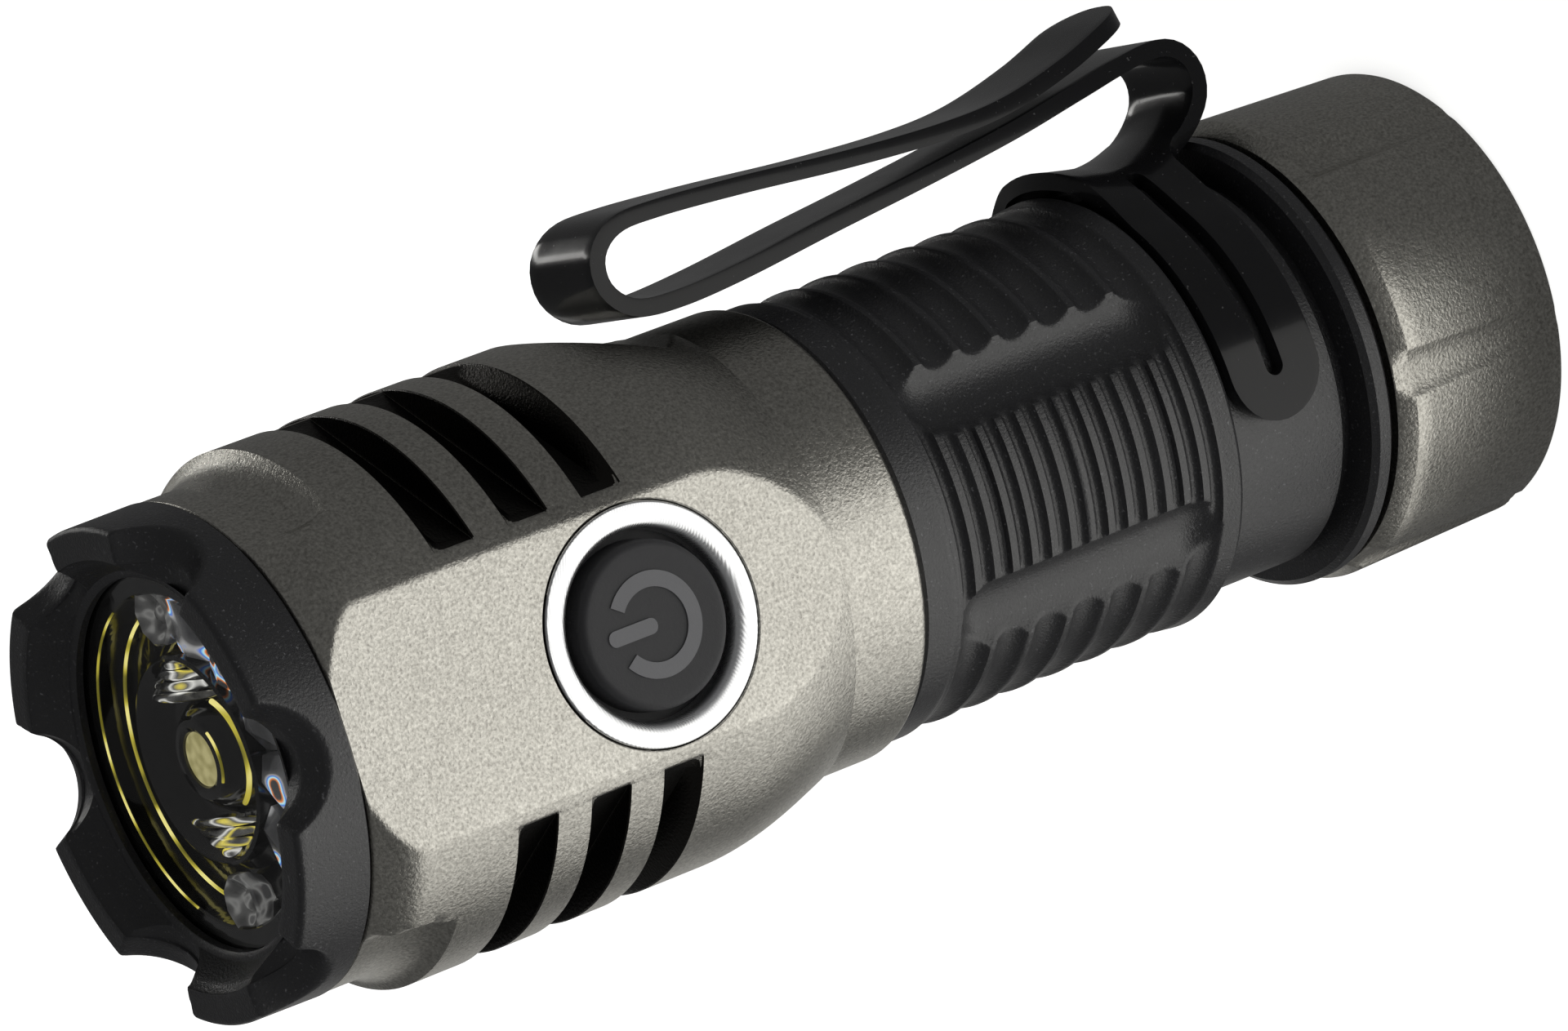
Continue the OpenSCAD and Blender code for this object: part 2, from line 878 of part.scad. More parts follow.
tail_cap();
tail_magnet();
tail_contact_board();
tail_spring();
cell_can();
cell_wrap();
cell_insulator();
cell_positive();
battery_tube();
tail_o_ring();
head_o_ring();
head_shell();
bezel();
window_gasket();
lens_window();
optic();
optic_holder();
led_board();
main_led();
main_led_dome();
aux_leds();
led_board_screws();
led_wires();
driver_board();
driver_inductor();
driver_chips();
front_spring();
switch_board();
switch_ribbon();
switch_body();
switch_ring();
button();
button_symbol();
switch_plunger();
pocket_clip();
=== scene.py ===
import json
import math
from types import SimpleNamespace
import bmesh
import bpy
import numpy as np
from mathutils import Matrix, Vector


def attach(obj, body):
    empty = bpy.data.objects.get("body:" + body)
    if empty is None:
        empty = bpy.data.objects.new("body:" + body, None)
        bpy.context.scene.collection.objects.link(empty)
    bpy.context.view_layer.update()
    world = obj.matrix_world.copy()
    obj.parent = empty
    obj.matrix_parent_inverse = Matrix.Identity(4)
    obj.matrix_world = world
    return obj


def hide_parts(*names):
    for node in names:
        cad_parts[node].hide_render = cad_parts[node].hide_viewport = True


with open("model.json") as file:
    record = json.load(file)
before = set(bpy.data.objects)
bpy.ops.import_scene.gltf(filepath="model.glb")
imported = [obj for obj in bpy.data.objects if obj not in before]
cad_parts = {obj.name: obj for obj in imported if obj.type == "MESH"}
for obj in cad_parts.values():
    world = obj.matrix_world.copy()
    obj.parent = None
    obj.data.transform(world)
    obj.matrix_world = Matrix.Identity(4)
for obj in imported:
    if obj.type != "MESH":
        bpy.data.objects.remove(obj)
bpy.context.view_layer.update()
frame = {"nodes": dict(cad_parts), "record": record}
nodes = frame["nodes"]
print("frame loaded:", len(nodes), "nodes")

mm = 0.001  # lengths below are in millimetres until a mesh is made


def named(sizes):
    # a dictionary of sizes, read as s.key
    return SimpleNamespace(**sizes)


# camera, floor and light

stageSizes = {
    "cameraPlace": (53.03, -376.19, 269.68),
    "cameraRight": (-0.28783, -0.53011, -0.79758),
    "cameraUp": (0.95047, -0.05614, -0.30570),
    "cameraBack": (0.11728, -0.84607, 0.52001),
    "lens": 216.64,
    "floorSize": 6000,
    "floorLow": -0.02,
    "floorGlow": 0.80,
    "skyGrey": 0.12,
}


def placed(name, data):
    made = bpy.data.objects.new(name, data)
    bpy.context.scene.collection.objects.link(made)
    return made


def makeCamera(s):
    camera = placed("studioCamera", bpy.data.cameras.new("studioCamera"))
    turn = Matrix((s.cameraRight, s.cameraUp, s.cameraBack)).transposed().to_4x4()
    camera.matrix_world = Matrix.Translation(Vector(s.cameraPlace) * mm) @ turn
    camera.data.lens = s.lens
    camera.data.sensor_width = 36
    camera.data.clip_start = 0.01
    bpy.context.scene.camera = camera


makeCamera(named(stageSizes))


def softLight(name, place, aim, width, height, power):
    lamp = bpy.data.lights.new(name, "AREA")
    lamp.shape = "RECTANGLE"
    lamp.size, lamp.size_y = width * mm, height * mm
    lamp.energy = power
    light = placed(name, lamp)
    light.visible_glossy = light.visible_transmission = False
    direction = (Vector(aim) - Vector(place)).normalized()
    turn = direction.to_track_quat("-Z", "Y").to_matrix().to_4x4()
    light.matrix_world = Matrix.Translation(Vector(place) * mm) @ turn


# node trees and their maths

def rgba(colour):
    # a colour for a socket: one number is a grey, and a link passes through
    if isinstance(colour, (int, float)):
        colour = (colour, colour, colour)
    return (*colour, 1) if isinstance(colour, tuple) else colour


class Wire:
    # wraps a socket that carries a number, so that maths on it reads as plain Python
    def __init__(self, graph, socket):
        self.graph = graph
        self.socket = socket

    def maths(self, operation, *others, clamp=False):
        return self.graph.maths(operation, self, *others, clamp=clamp)

    def __add__(self, other):
        return self.maths("ADD", other)

    __radd__ = __add__

    def __sub__(self, other):
        return self.maths("SUBTRACT", other)

    def __rsub__(self, other):
        return self.graph.maths("SUBTRACT", other, self)

    def __mul__(self, other):
        return self.maths("MULTIPLY", other)

    __rmul__ = __mul__

    def __truediv__(self, other):
        return self.maths("DIVIDE", other)

    def between(self, low, high):
        return ((self - low) / (high - low)).maths("ADD", 0, clamp=True)


class Graph:
    # a node tree, shader or geometry, with one way to add any node
    def __init__(self, tree):
        self.tree = tree

    def node(self, kind, inputs=None, stops=(), **settings):
        made = self.tree.nodes.new(kind)
        for key, value in settings.items():
            setattr(made, key, value)
        if stops:
            ramp = made.color_ramp.elements
            while len(ramp) < len(stops):
                ramp.new(0.5)
            for element, (position, colour) in zip(ramp, stops):
                element.position = position
                element.color = rgba(colour)
        for key, value in (inputs or {}).items():
            self.feed(made.inputs[key], value)
        return made

    def feed(self, socket, value):
        if isinstance(value, Wire):
            value = value.socket
        if isinstance(value, bpy.types.NodeSocket):
            self.tree.links.new(value, socket)
        else:
            socket.default_value = value

    def maths(self, operation, *values, clamp=False):
        made = self.node("ShaderNodeMath", dict(enumerate(values)), operation=operation, use_clamp=clamp)
        return Wire(self, made.outputs[0])


class Finish(Graph):
    # one material, its Principled shader and the nodes that feed it
    def __init__(self, name, **fixed):
        self.material = bpy.data.materials.new(name)
        self.material.use_nodes = True
        super().__init__(self.material.node_tree)
        self.shader = self.tree.nodes["Principled BSDF"]
        self.place = self.node("ShaderNodeTexCoord").outputs["Object"]
        for socket, value in fixed.items():
            self.shader.inputs[socket.replace("_", " ")].default_value = value

    def noise(self, size, detail=2, roughness=0.5, place=None):
        made = self.node("ShaderNodeTexNoise", {
            "Vector": place or self.place, "Scale": 1 / (size * mm), "Detail": detail,
            "Roughness": roughness})
        return Wire(self, made.outputs["Fac"])

    def blend(self, amount, first, second):
        made = self.node("ShaderNodeMix", {0: amount, 6: rgba(first), 7: rgba(second)}, data_type="RGBA")
        return made.outputs[2]

    def axis(self, name):
        made = self.node("ShaderNodeSeparateXYZ", {0: self.place})
        return Wire(self, made.outputs[name])

    def colour(self, value):
        self.feed(self.shader.inputs["Base Color"], value)

    def rough(self, value):
        self.feed(self.shader.inputs["Roughness"], value)

    def bump(self, height, depth, strength=1.0):
        made = self.node("ShaderNodeBump", {"Strength": strength, "Distance": depth * mm, "Height": height})
        self.feed(self.shader.inputs["Normal"], made.outputs[0])


# finishes

slotShade = {  # where the cooling slots lie, and the tone of the painted shade on their walls and floors
    "low": 53.0, "high": 64.0, "first": 62.4, "pitch": 4.06, "half": 0.25, "radius": 12.9, "flat": -11.55,
    "wallFacing": 0.6, "tone": (0.03, 0.028, 0.025),
}


def blastedGrey(name, base, dark, grain, grainDepth, roughness, s=named(slotShade)):
    # bead-blasted, anodised metal: fine pits, a slow drift of tone and lighter rubbed spots
    finish = Finish(name, Metallic=1.0)
    pits = finish.noise(grain, 3, 0.6)
    cloud = finish.noise(9, 2)
    speck = finish.noise(grain * 0.8, 1)
    tone = (pits - 0.5) * 1.6 + (cloud - 0.5) * 0.35 + 0.5
    skin = finish.blend(tone.between(0.1, 0.9), dark, base)
    # painted shade: the walls and floors of the cooling slots are darkened, standing in for the shade deep inside
    # them
    normal = finish.node("ShaderNodeSeparateXYZ", {0: finish.node("ShaderNodeTexCoord").outputs["Normal"]})
    wall = Wire(finish, normal.outputs["Z"]).maths("ABSOLUTE").maths("GREATER_THAN", s.wallFacing)
    x, y, height = finish.axis("X"), finish.axis("Y"), finish.axis("Z")
    slotted = height.maths("GREATER_THAN", s.low * mm) * height.maths("LESS_THAN", s.high * mm)
    inRow = ((height - s.first * mm) / (s.pitch * mm) + 0.5).maths("FRACT") - 0.5
    row = inRow.maths("ABSOLUTE").maths("LESS_THAN", s.half)
    below = (x * x + y * y).maths("SQRT").maths("LESS_THAN", s.radius * mm)
    shadedSlotFloor = below * y.maths("GREATER_THAN", s.flat * mm) * row
    # painted shade: slot walls and floors inside the slotted band take the dark tone
    finish.colour(finish.blend(wall.maths("MAXIMUM", shadedSlotFloor) * slotted, skin, s.tone))
    finish.rough((speck - 0.5) * 0.16 + (cloud - 0.5) * 0.1 + roughness)
    finish.bump(pits, grainDepth)
    return finish.material


def blackAnodised(name, base, light, grain, grainDepth, roughness):
    # satin black anodising: sparse pale grains over a fine, even texture
    finish = Finish(name, Specular_IOR_Level=0.75)
    pits = finish.noise(grain, 2, 0.6)
    cloud = finish.noise(6, 2)
    fleck = finish.noise(grain * 1.1, 1).between(0.66, 0.8)
    finish.colour(finish.blend(fleck * 0.55, base, light))
    finish.rough((pits - 0.5) * 0.2 + (cloud - 0.5) * 0.12 + roughness)
    finish.bump(pits, grainDepth)
    return finish.material


def glossSteel(name, base, roughness):
    # black coated spring steel: a smooth skin with a faint flow and small dust specks
    finish = Finish(name, Specular_IOR_Level=0.18, Coat_Roughness=0.09)
    flow = finish.noise(2.4, 2)
    speck = finish.noise(0.22, 1).between(0.74, 0.8)
    finish.colour(finish.blend(speck * 0.35, base, 0.12))
    finish.rough((flow - 0.5) * 0.14 + speck * 0.25 + roughness)
    finish.feed(finish.shader.inputs["Coat Weight"], 0.2 - speck * 0.15)
    finish.bump(flow, 0.012)
    return finish.material


def grained(name, base, other, size, roughness, depth=0.004, metallic=0.0, spread=0.5):
    # a plain finish with its own grain: two close tones, uneven gloss and a shallow texture
    finish = Finish(name, Metallic=metallic)
    grain = finish.noise(size, 3, 0.6)
    cloud = finish.noise(size * 14, 2)
    tone = (grain - 0.5) * spread + (cloud - 0.5) * 0.6 + 0.5
    finish.colour(finish.blend(tone.between(0, 1), base, other))
    finish.rough((grain - 0.5) * 0.2 + (cloud - 0.5) * 0.1 + roughness)
    finish.bump(grain, depth)
    return finish.material


def turnedMetal(name, base, other, roughness, lines=0.12):
    # turned or ground metal: fine rings round Z and a slow stain
    finish = Finish(name, Metallic=1.0)
    x, y, z = finish.axis("X"), finish.axis("Y"), finish.axis("Z")
    radius = (x * x + y * y).maths("SQRT")
    ring = finish.maths("SINE", (radius + z) * (2 * math.pi / (lines * mm)))
    stain = finish.noise(1.6, 3)
    finish.colour(finish.blend((ring * 0.12 + stain).between(0.2, 0.8), base, other))
    finish.rough(ring * 0.05 + (stain - 0.5) * 0.2 + roughness)
    finish.bump(ring, 0.0012)
    return finish.material


def clearFinish(name, tint, ior, roughness, streak):
    # clear moulded plastic or glass with faint flow lines
    finish = Finish(name, Roughness=roughness, IOR=ior, Transmission_Weight=1.0)
    flow = finish.noise(3.5, 2)
    finish.colour(finish.blend(flow.between(0.3, 0.7), tint, tuple(0.97 * c for c in tint)))
    finish.bump(flow, streak)
    return finish.material


def darkGlass(name, base, other, roughness, level, metallic=0.0, size=1.1, sparkle=(), stretch=(1, 1, 1)):
    # clear moulding over a black holder, as it looks in daylight: dark, glossy, with faint flow lines;
    # sparkle is a row of (position, colour) stops for painted glints, set as glow, that stand in for the light
    # that it gathers
    finish = Finish(name, Metallic=metallic, Specular_IOR_Level=level)
    flow = finish.noise(size, 3)
    finish.colour(finish.blend(((flow - 0.5) * 2.2 + 0.5).between(0, 1), base, other))
    if sparkle:
        along = finish.node("ShaderNodeMapping", {"Vector": finish.place, "Scale": stretch})
        streak = finish.noise(size, 0, place=along.outputs[0])
        paintedGlint = finish.node("ShaderNodeValToRGB", {"Fac": (streak - 0.5) * 1.5 + 0.5}, sparkle)
        finish.feed(finish.shader.inputs["Emission Color"], paintedGlint.outputs[0])
        finish.shader.inputs["Emission Strength"].default_value = 1.0
    finish.rough((flow - 0.5) * 0.06 + roughness)
    finish.bump(flow, 0.03)
    return finish.material


finishes = {
    # the optic's finishes below carry painted glints and a painted rainbow as glow, standing in for light that the
    # clear optic catches
    "lens_black": darkGlass("lensBlack", 0.004, (0.012, 0.012, 0.011), 0.08, 0.9),
    "rib_glass": darkGlass("ribGlass", (0.16, 0.16, 0.15), (0.75, 0.74, 0.68), 0.12, 0.9, 0.8, 0.9, (
        (0.3, 0), (0.45, 0.03), (0.52, (0.6, 0.6, 0.57)), (0.6, 0.05),
        (0.68, (0.62, 0.52, 0.06)), (0.76, 0.02)), (1, 0.25, 1)),
    "wing_glass": darkGlass("wingGlass", (0.07, 0.075, 0.08), (0.22, 0.22, 0.225), 0.08, 0.9, 0.5, 1.5, (
        (0.2, 0.01), (0.45, (0.02, 0.02, 0.021)), (0.6, 0.06), (0.66, 0.3),
        (0.70, (0.03, 0.14, 0.6)), (0.74, (0.4, 0.75, 0.8)), (0.78, (0.7, 0.2, 0.04)), (0.82, 0.03)),
        (1, 0.6, 1)),
    "lens_glass": darkGlass("lensGlass", (0.16, 0.16, 0.155), (0.34, 0.34, 0.33), 0.12, 0.9, 0.4, 0.8, (
        (0.3, 0.01), (0.55, (0.035, 0.035, 0.034)), (0.68, (0.13, 0.13, 0.125)), (0.8, 0.03))),
    "yellow_glint": darkGlass("yellowGlint", (0.62, 0.52, 0.05), (0.85, 0.76, 0.22), 0.25, 0.5, 0, 1.6, (
        (0.3, (0.10, 0.09, 0.01)), (0.5, (0.42, 0.36, 0.04)), (0.72, (0.8, 0.72, 0.25)))),
    "emitter_glow": darkGlass("emitterGlow", (0.66, 0.60, 0.30), (0.56, 0.50, 0.20), 0.3, 0.5, 0, 0.5, (
        (0.2, (0.20, 0.18, 0.07)), (0.8, (0.34, 0.31, 0.15)))),
    "bead_blasted_titanium_grey": blastedGrey(
        "beadBlastedGrey", (0.66, 0.645, 0.59), (0.27, 0.26, 0.235), 0.16, 0.035, 0.31),
    "black_anodised": blackAnodised(
        "satinBlackAnodised", (0.010, 0.010, 0.011), (0.12, 0.12, 0.125), 0.14, 0.03, 0.40),
    "clip_steel": glossSteel("blackSpringSteel", (0.006, 0.006, 0.0065), 0.2),
    "bright_ring": turnedMetal("brightRing", (0.94, 0.945, 0.95), (0.82, 0.83, 0.85), 0.32, 0.15),
    "button_rubber": grained("buttonRubber", (0.010, 0.010, 0.011), (0.022, 0.022, 0.024), 0.16, 0.62, 0.012),
    "symbol_print": grained("symbolPrint", (0.075, 0.075, 0.08), (0.11, 0.11, 0.115), 0.12, 0.5, 0.006),
    "seal_rubber": grained("sealRubber", 0.012, 0.02, 0.2, 0.55, 0.006),
    "clear_glass": clearFinish("clearGlass", (1.0, 1.0, 1.0), 1.12, 0.0, 0.0),
    "clear_acrylic": clearFinish("clearAcrylic", (1.0, 1.0, 0.99), 1.49, 0.02, 0.004),
    "black_plastic": grained("blackPlastic", 0.008, 0.016, 0.25, 0.3, 0.004),
    "led_board_mask": grained("boardMask", 0.012, 0.03, 0.3, 0.35, 0.004),
    "led_ceramic": grained("ledCeramic", (0.80, 0.76, 0.58), (0.70, 0.66, 0.48), 0.1, 0.45, 0.002),
    "led_phosphor": grained("ledPhosphor", (0.66, 0.60, 0.30), (0.56, 0.50, 0.20), 0.12, 0.3, 0.002),
    "steel": turnedMetal("screwSteel", (0.62, 0.61, 0.60), (0.5, 0.49, 0.48), 0.3),
    "nickel": turnedMetal("nickelPlate", (0.74, 0.72, 0.68), (0.62, 0.6, 0.57), 0.22),
    "gold_contact": turnedMetal("goldContact", (0.86, 0.64, 0.27), (0.74, 0.52, 0.2), 0.25),
    "circuit_board": grained("circuitBoard", (0.012, 0.11, 0.045), (0.02, 0.16, 0.07), 0.35, 0.35, 0.006),
    "cell_sleeve": grained("cellSleeve", (0.05, 0.06, 0.075), (0.075, 0.085, 0.1), 0.5, 0.4, 0.004),
    "white_insulator": grained("fibrePaper", (0.86, 0.86, 0.82), (0.74, 0.73, 0.68), 0.2, 0.8, 0.02),
    "wire_insulation": grained("wireSilicone", (0.5, 0.02, 0.02), (0.6, 0.05, 0.04), 0.3, 0.5, 0.004),
    "ferrite": grained("ferriteGrey", (0.09, 0.09, 0.1), (0.15, 0.15, 0.16), 0.2, 0.7, 0.01),
    "flex_ribbon": grained("flexRibbon", (0.5, 0.2, 0.04), (0.6, 0.27, 0.07), 0.4, 0.35, 0.003),
}
for part in frame["record"]["subparts"]:
    for materialSlot in nodes[part["node"]].material_slots:
        materialSlot.material = finishes[part["material_slot"]]
print("finishes made:", len(finishes))


# mesh helpers

noCut = 99.0  # a radius outside every piece, where a cutting shape is absent


def softMin(first, second, width):
    share = np.clip(0.5 + 0.5 * (second - first) / width, 0, 1)
    return second * (1 - share) + first * share - width * share * (1 - share)


def turnFrom(angle, centre):
    # signed turn in degrees from a centre direction
    return (angle - centre + 180) % 360 - 180


def spans(*parts):
    # joins (start, end, step) spans and single values into one rising list
    found = []
    for part in parts:
        if isinstance(part, tuple):
            start, end, step = part
            found += list(np.linspace(start, end, max(int(round((end - start) / step)), 1) + 1))
        else:
            found.append(part)
    return np.array(sorted(set(np.round(found, 5))))


def ringOf(radius, height, angles):
    # one ring of points; the radius and the height may change with the angle
    turn = np.radians(angles)
    radius = np.broadcast_to(radius, turn.shape)
    height = np.broadcast_to(height, turn.shape)
    return np.stack([radius * np.cos(turn), radius * np.sin(turn), height], 1)


def mend(mesh, join=0, thin=0, triangles=False, outwards=True):
    # joins doubles, drops slivers, cuts faces to triangles and turns them outwards, as asked
    work = bmesh.new()
    work.from_mesh(mesh)
    if join:
        bmesh.ops.remove_doubles(work, verts=work.verts, dist=join)
    if thin:
        bmesh.ops.dissolve_degenerate(work, edges=work.edges, dist=thin)
    if triangles:
        bmesh.ops.triangulate(work, faces=work.faces)
    if outwards:
        bmesh.ops.recalc_face_normals(work, faces=work.faces)
    work.to_mesh(mesh)
    work.free()


def ringsOf(profile, angles):
    return [ringOf(radius, height, angles) for radius, height in profile]


def meshFrom(name, points, faces):
    mesh = bpy.data.meshes.new(name)
    mesh.from_pydata([tuple(p) for p in np.asarray(points, float) * mm], [], faces)
    mend(mesh, join=2e-7, thin=1e-7, outwards=False)
    return placed(name, mesh)


def shellFrom(name, rings, closed=False):
    # quads between rings of equal length; a closed shell joins the last ring to the first
    rings = np.array(rings)
    count, across = rings.shape[:2]
    last = count if closed else count - 1
    faces = []
    for i in range(last):
        low, high = i * across, ((i + 1) % count) * across
        for j in range(across):
            k = (j + 1) % across
            faces.append((low + j, low + k, high + k, high + j))
    return meshFrom(name, rings.reshape(-1, 3), faces)


def plainMesh(piece):
    # swaps a piece's modifiers for the mesh that they make
    graph = bpy.context.evaluated_depsgraph_get()
    graph.update()
    made = bpy.data.meshes.new_from_object(piece.evaluated_get(graph))
    piece.modifiers.clear()
    old = piece.data
    piece.data = made
    bpy.data.meshes.remove(old)
    return piece


class Layout(Graph):
    # a Geometry Nodes tree with named inputs, run once to make a piece
    kinds = {int: "NodeSocketInt", float: "NodeSocketFloat", bpy.types.Object: "NodeSocketObject",
             bpy.types.Material: "NodeSocketMaterial"}

    def __init__(self, name, values):
        super().__init__(bpy.data.node_groups.new(name, "GeometryNodeTree"))
        self.values = values
        new = self.tree.interface.new_socket
        self.sockets = {key: new(key, in_out="INPUT", socket_type=self.kinds[type(value)])
                        for key, value in values.items()}
        new("Geometry", in_out="OUTPUT", socket_type="NodeSocketGeometry")
        self.source = self.node("NodeGroupInput")
        self.name = name

    def take(self, key):
        return Wire(self, self.source.outputs[key])

    def make(self, geometry):
        solid = self.node("GeometryNodeRealizeInstances", {"Geometry": geometry})
        solid = self.node("GeometryNodeSetMaterial", {
            "Geometry": solid.outputs[0], "Material": self.take("Finish")})
        self.node("NodeGroupOutput", {0: solid.outputs[0]})
        piece = placed(self.name, bpy.data.meshes.new(self.name))
        layout = piece.modifiers.new("layout", "NODES")
        layout.node_group = self.tree
        for key, value in self.values.items():
            layout[self.sockets[key].identifier] = value
        return plainMesh(piece)


def copiesRound(name, shape, finishSlot, count, radius, height, start, sweep):
    # copies of a shape on a circle round Z, each turned to face outwards; angles in degrees
    layout = Layout(name, {
        "Count": count, "Radius": radius * mm, "Height": height * mm, "Start": math.radians(start),
        "Step": math.radians(sweep / count), "Shape": shape, "Finish": finishes[finishSlot]})
    line = layout.node("GeometryNodeMeshLine", {"Count": layout.take("Count"), "Offset": (0, 0, 0)})
    index = Wire(layout, layout.node("GeometryNodeInputIndex").outputs[0])
    turn = layout.take("Start") + layout.take("Step") * index
    place = layout.node("ShaderNodeCombineXYZ", {
        "X": turn.maths("COSINE") * layout.take("Radius"), "Y": turn.maths("SINE") * layout.take("Radius"),
        "Z": layout.take("Height")})
    spot = layout.node("GeometryNodeSetPosition", {
        "Geometry": line.outputs[0], "Position": place.outputs[0]})
    facing = layout.node("ShaderNodeCombineXYZ", {"Z": turn})
    thing = layout.node("GeometryNodeObjectInfo", {"Object": layout.take("Shape"), "As Instance": True})
    copies = layout.node("GeometryNodeInstanceOnPoints", {
        "Points": spot.outputs[0], "Instance": thing.outputs["Geometry"], "Rotation": facing.outputs[0]})
    piece = layout.make(copies.outputs[0])
    return piece


def rodAlong(layout, path, sides):
    # a round rod along a path, at the layout's own thickness and height
    section = layout.node("GeometryNodeCurvePrimitiveCircle", {
        "Resolution": sides, "Radius": layout.take("Thickness")})
    rod = layout.node("GeometryNodeCurveToMesh", {
        "Curve": path.outputs[0], "Profile Curve": section.outputs[0], "Fill Caps": True})
    raised = layout.node("ShaderNodeCombineXYZ", {"Z": layout.take("Height")})
    moved = layout.node("GeometryNodeTransform", {
        "Geometry": rod.outputs[0], "Translation": raised.outputs[0]})
    return layout.make(moved.outputs[0])


def rodRound(name, finishSlot, radius, thickness, height, start, sweep):
    # a round rod bent along an arc round Z; angles in degrees
    layout = Layout(name, {
        "Radius": radius * mm, "Thickness": thickness * mm, "Height": height * mm,
        "Start": math.radians(start), "Sweep": math.radians(sweep), "Finish": finishes[finishSlot]})
    arc = layout.node("GeometryNodeCurveArc", {
        "Resolution": 64, "Radius": layout.take("Radius"), "Start Angle": layout.take("Start"),
        "Sweep Angle": layout.take("Sweep")})
    return rodAlong(layout, arc, 8)


def coilUp(name, finishSlot, low, high, foot, tip, turns, wire):
    # a spring wound up Z from one radius to another
    layout = Layout(name, {
        "Foot": foot * mm, "Tip": tip * mm, "Turns": float(turns), "Length": (high - low - 2 * wire) * mm,
        "Height": (low + wire) * mm, "Thickness": wire * mm, "Finish": finishes[finishSlot]})
    path = layout.node("GeometryNodeCurveSpiral", {
        "Resolution": 40, "Rotations": layout.take("Turns"), "Start Radius": layout.take("Foot"),
        "End Radius": layout.take("Tip"), "Height": layout.take("Length")})
    return rodAlong(layout, path, 12)


def settle(piece, finishSlot, body, stands, sharp=32):
    # smooth shading with crisp edges, then the piece joins the frame
    mesh = piece.data
    mesh.polygons.foreach_set("use_smooth", [True] * len(mesh.polygons))
    mesh.set_sharp_from_angle(angle=math.radians(sharp))
    mesh.materials.clear()
    mesh.materials.append(finishes[finishSlot])
    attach(piece, body)
    if stands:
        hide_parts(*stands)
    print(piece.name, len(mesh.polygons), "faces")
    return piece


def carve(piece, cutter):
    cut = piece.modifiers.new("cut", "BOOLEAN")
    cut.operation = "DIFFERENCE"
    cut.solver = "MANIFOLD"
    cut.object = cutter
    plainMesh(piece)
    bpy.data.objects.remove(cutter)


# head

headSizes = {
    "rear": 38.9, "rearEdge": 0.4, "collar": 11.25, "collarEnd": 43.2, "step": 0.2, "shoulderFoot": 11.6,
    "shoulderEnd": 49.9, "radius": 13.0, "browStart": 68.34, "rim": 12.0, "front": 70.74, "flat": 11.65,
    "edge": 0.10, "slotCount": 3, "slotFirst": 62.4, "slotPitch": 4.06, "slotWidth": 2.1,
    "slotFloor": 11.2, "slotBreak": 0.07, "slotFacings": (-30, 30, 90, 150, 210), "slotReach": 1.2,
    "scoopHalf": 42.0, "scoopLow": 66.4, "scoopFade": 0.4, "scoopFloor": 11.88, "scoopBend": 68.64,
    "scoopRise": 1.3, "scoopSteep": 3, "scoopFlank": 3.2, "flankRise": 0.75, "scoopSoft": 0.12,
    "valleyBrim": (13.3, 51.03), "valleyDeep": (10.9, 45.2), "valleyFoot": (11.5, 41.2), "valleySoft": 0.08,
    "rearBore": [(0, 59.0), (8.4, 59.0), (8.4, 46.6), (8.95, 46.6), (8.95, 45.3), (9.55, 45.3),
                 (9.55, 41.1), (9.95, 41.1), (9.95, 38.9)],
    "frontBore": [(10.5, 70.74), (10.5, 66.5), (9.5, 66.5), (9.5, 61.6), (0, 61.6)],
}


def headRadius(z, angles, s):
    f = np.clip((z - s.collarEnd - s.step) / (s.shoulderEnd - s.collarEnd - s.step), 0, 1)
    b = np.clip((s.front - z) / (s.front - s.browStart), 0, 1)
    if z < s.collarEnd:
        lift = np.clip(1 - (z - s.rear) / s.rearEdge, 0, 1)
        base = s.collar - s.rearEdge * (1 - math.sqrt(1 - lift ** 2))
    elif z < s.collarEnd + s.step:
        base = s.collar + (s.shoulderFoot - s.collar) * (z - s.collarEnd) / s.step
    elif z < s.shoulderEnd:
        base = s.shoulderFoot + (s.radius - s.shoulderFoot) * math.sin(math.pi / 2 * f)
    else:
        base = s.rim + (s.radius - s.rim) * math.sin(math.pi / 2 * b)
    radius = np.full(len(angles), float(base))
    # slots with flat floors
    half = s.slotWidth / 2
    for i in range(s.slotCount):
        away = abs(z - (s.slotFirst - i * s.slotPitch))
        if away >= half + s.slotBreak:
            continue
        floor = np.full(len(angles), noCut)
        for centre in s.slotFacings:
            turn = np.radians(turnFrom(angles, centre))
            level = s.slotFloor / np.cos(np.clip(turn, -s.slotReach, s.slotReach))
            floor = np.where(np.abs(turn) < s.slotReach, np.minimum(floor, level), floor)
        if away <= half:
            radius = np.minimum(radius, floor)
        else:
            dip = s.slotBreak * (half + s.slotBreak - away) / s.slotBreak
            radius = radius - np.clip(radius - floor, 0, dip)
    # switch flat
    facing = np.cos(np.radians(turnFrom(angles, -90)))
    flat = np.where(facing > 0.05, s.flat / np.maximum(facing, 0.05), noCut)
    radius = softMin(radius, flat, s.edge)
    # front scoops
    if z > s.scoopLow - s.scoopFade:
        t = np.clip((s.scoopBend - z) / (s.scoopBend - s.scoopLow), 0, 1)
        rise = s.scoopRise * (1 - math.sqrt(1 - t * t))
        if z < s.scoopLow:
            rise = s.scoopRise + s.scoopSteep * (s.scoopLow - z)
        for centre in (0, 180):
            turn = np.abs(turnFrom(angles, centre))
            flank = np.clip((turn - s.scoopHalf + s.scoopFlank) / s.scoopFlank, 0, 3)
            radius = softMin(radius, s.scoopFloor + rise + s.flankRise * flank ** 2, s.scoopSoft)
    # valley under the clip's front loop
    east = np.cos(np.radians(angles))
    (foot, footAt), (deep, deepAt), (brim, brimAt) = s.valleyFoot, s.valleyDeep, s.valleyBrim
    reach = np.interp(z, [footAt, deepAt, brimAt, brimAt + 0.01], [foot, deep, brim, noCut], left=noCut)
    valley = np.where(east > 0.2, reach / np.maximum(east, 0.2), noCut)
    return softMin(radius, valley, s.valleySoft)


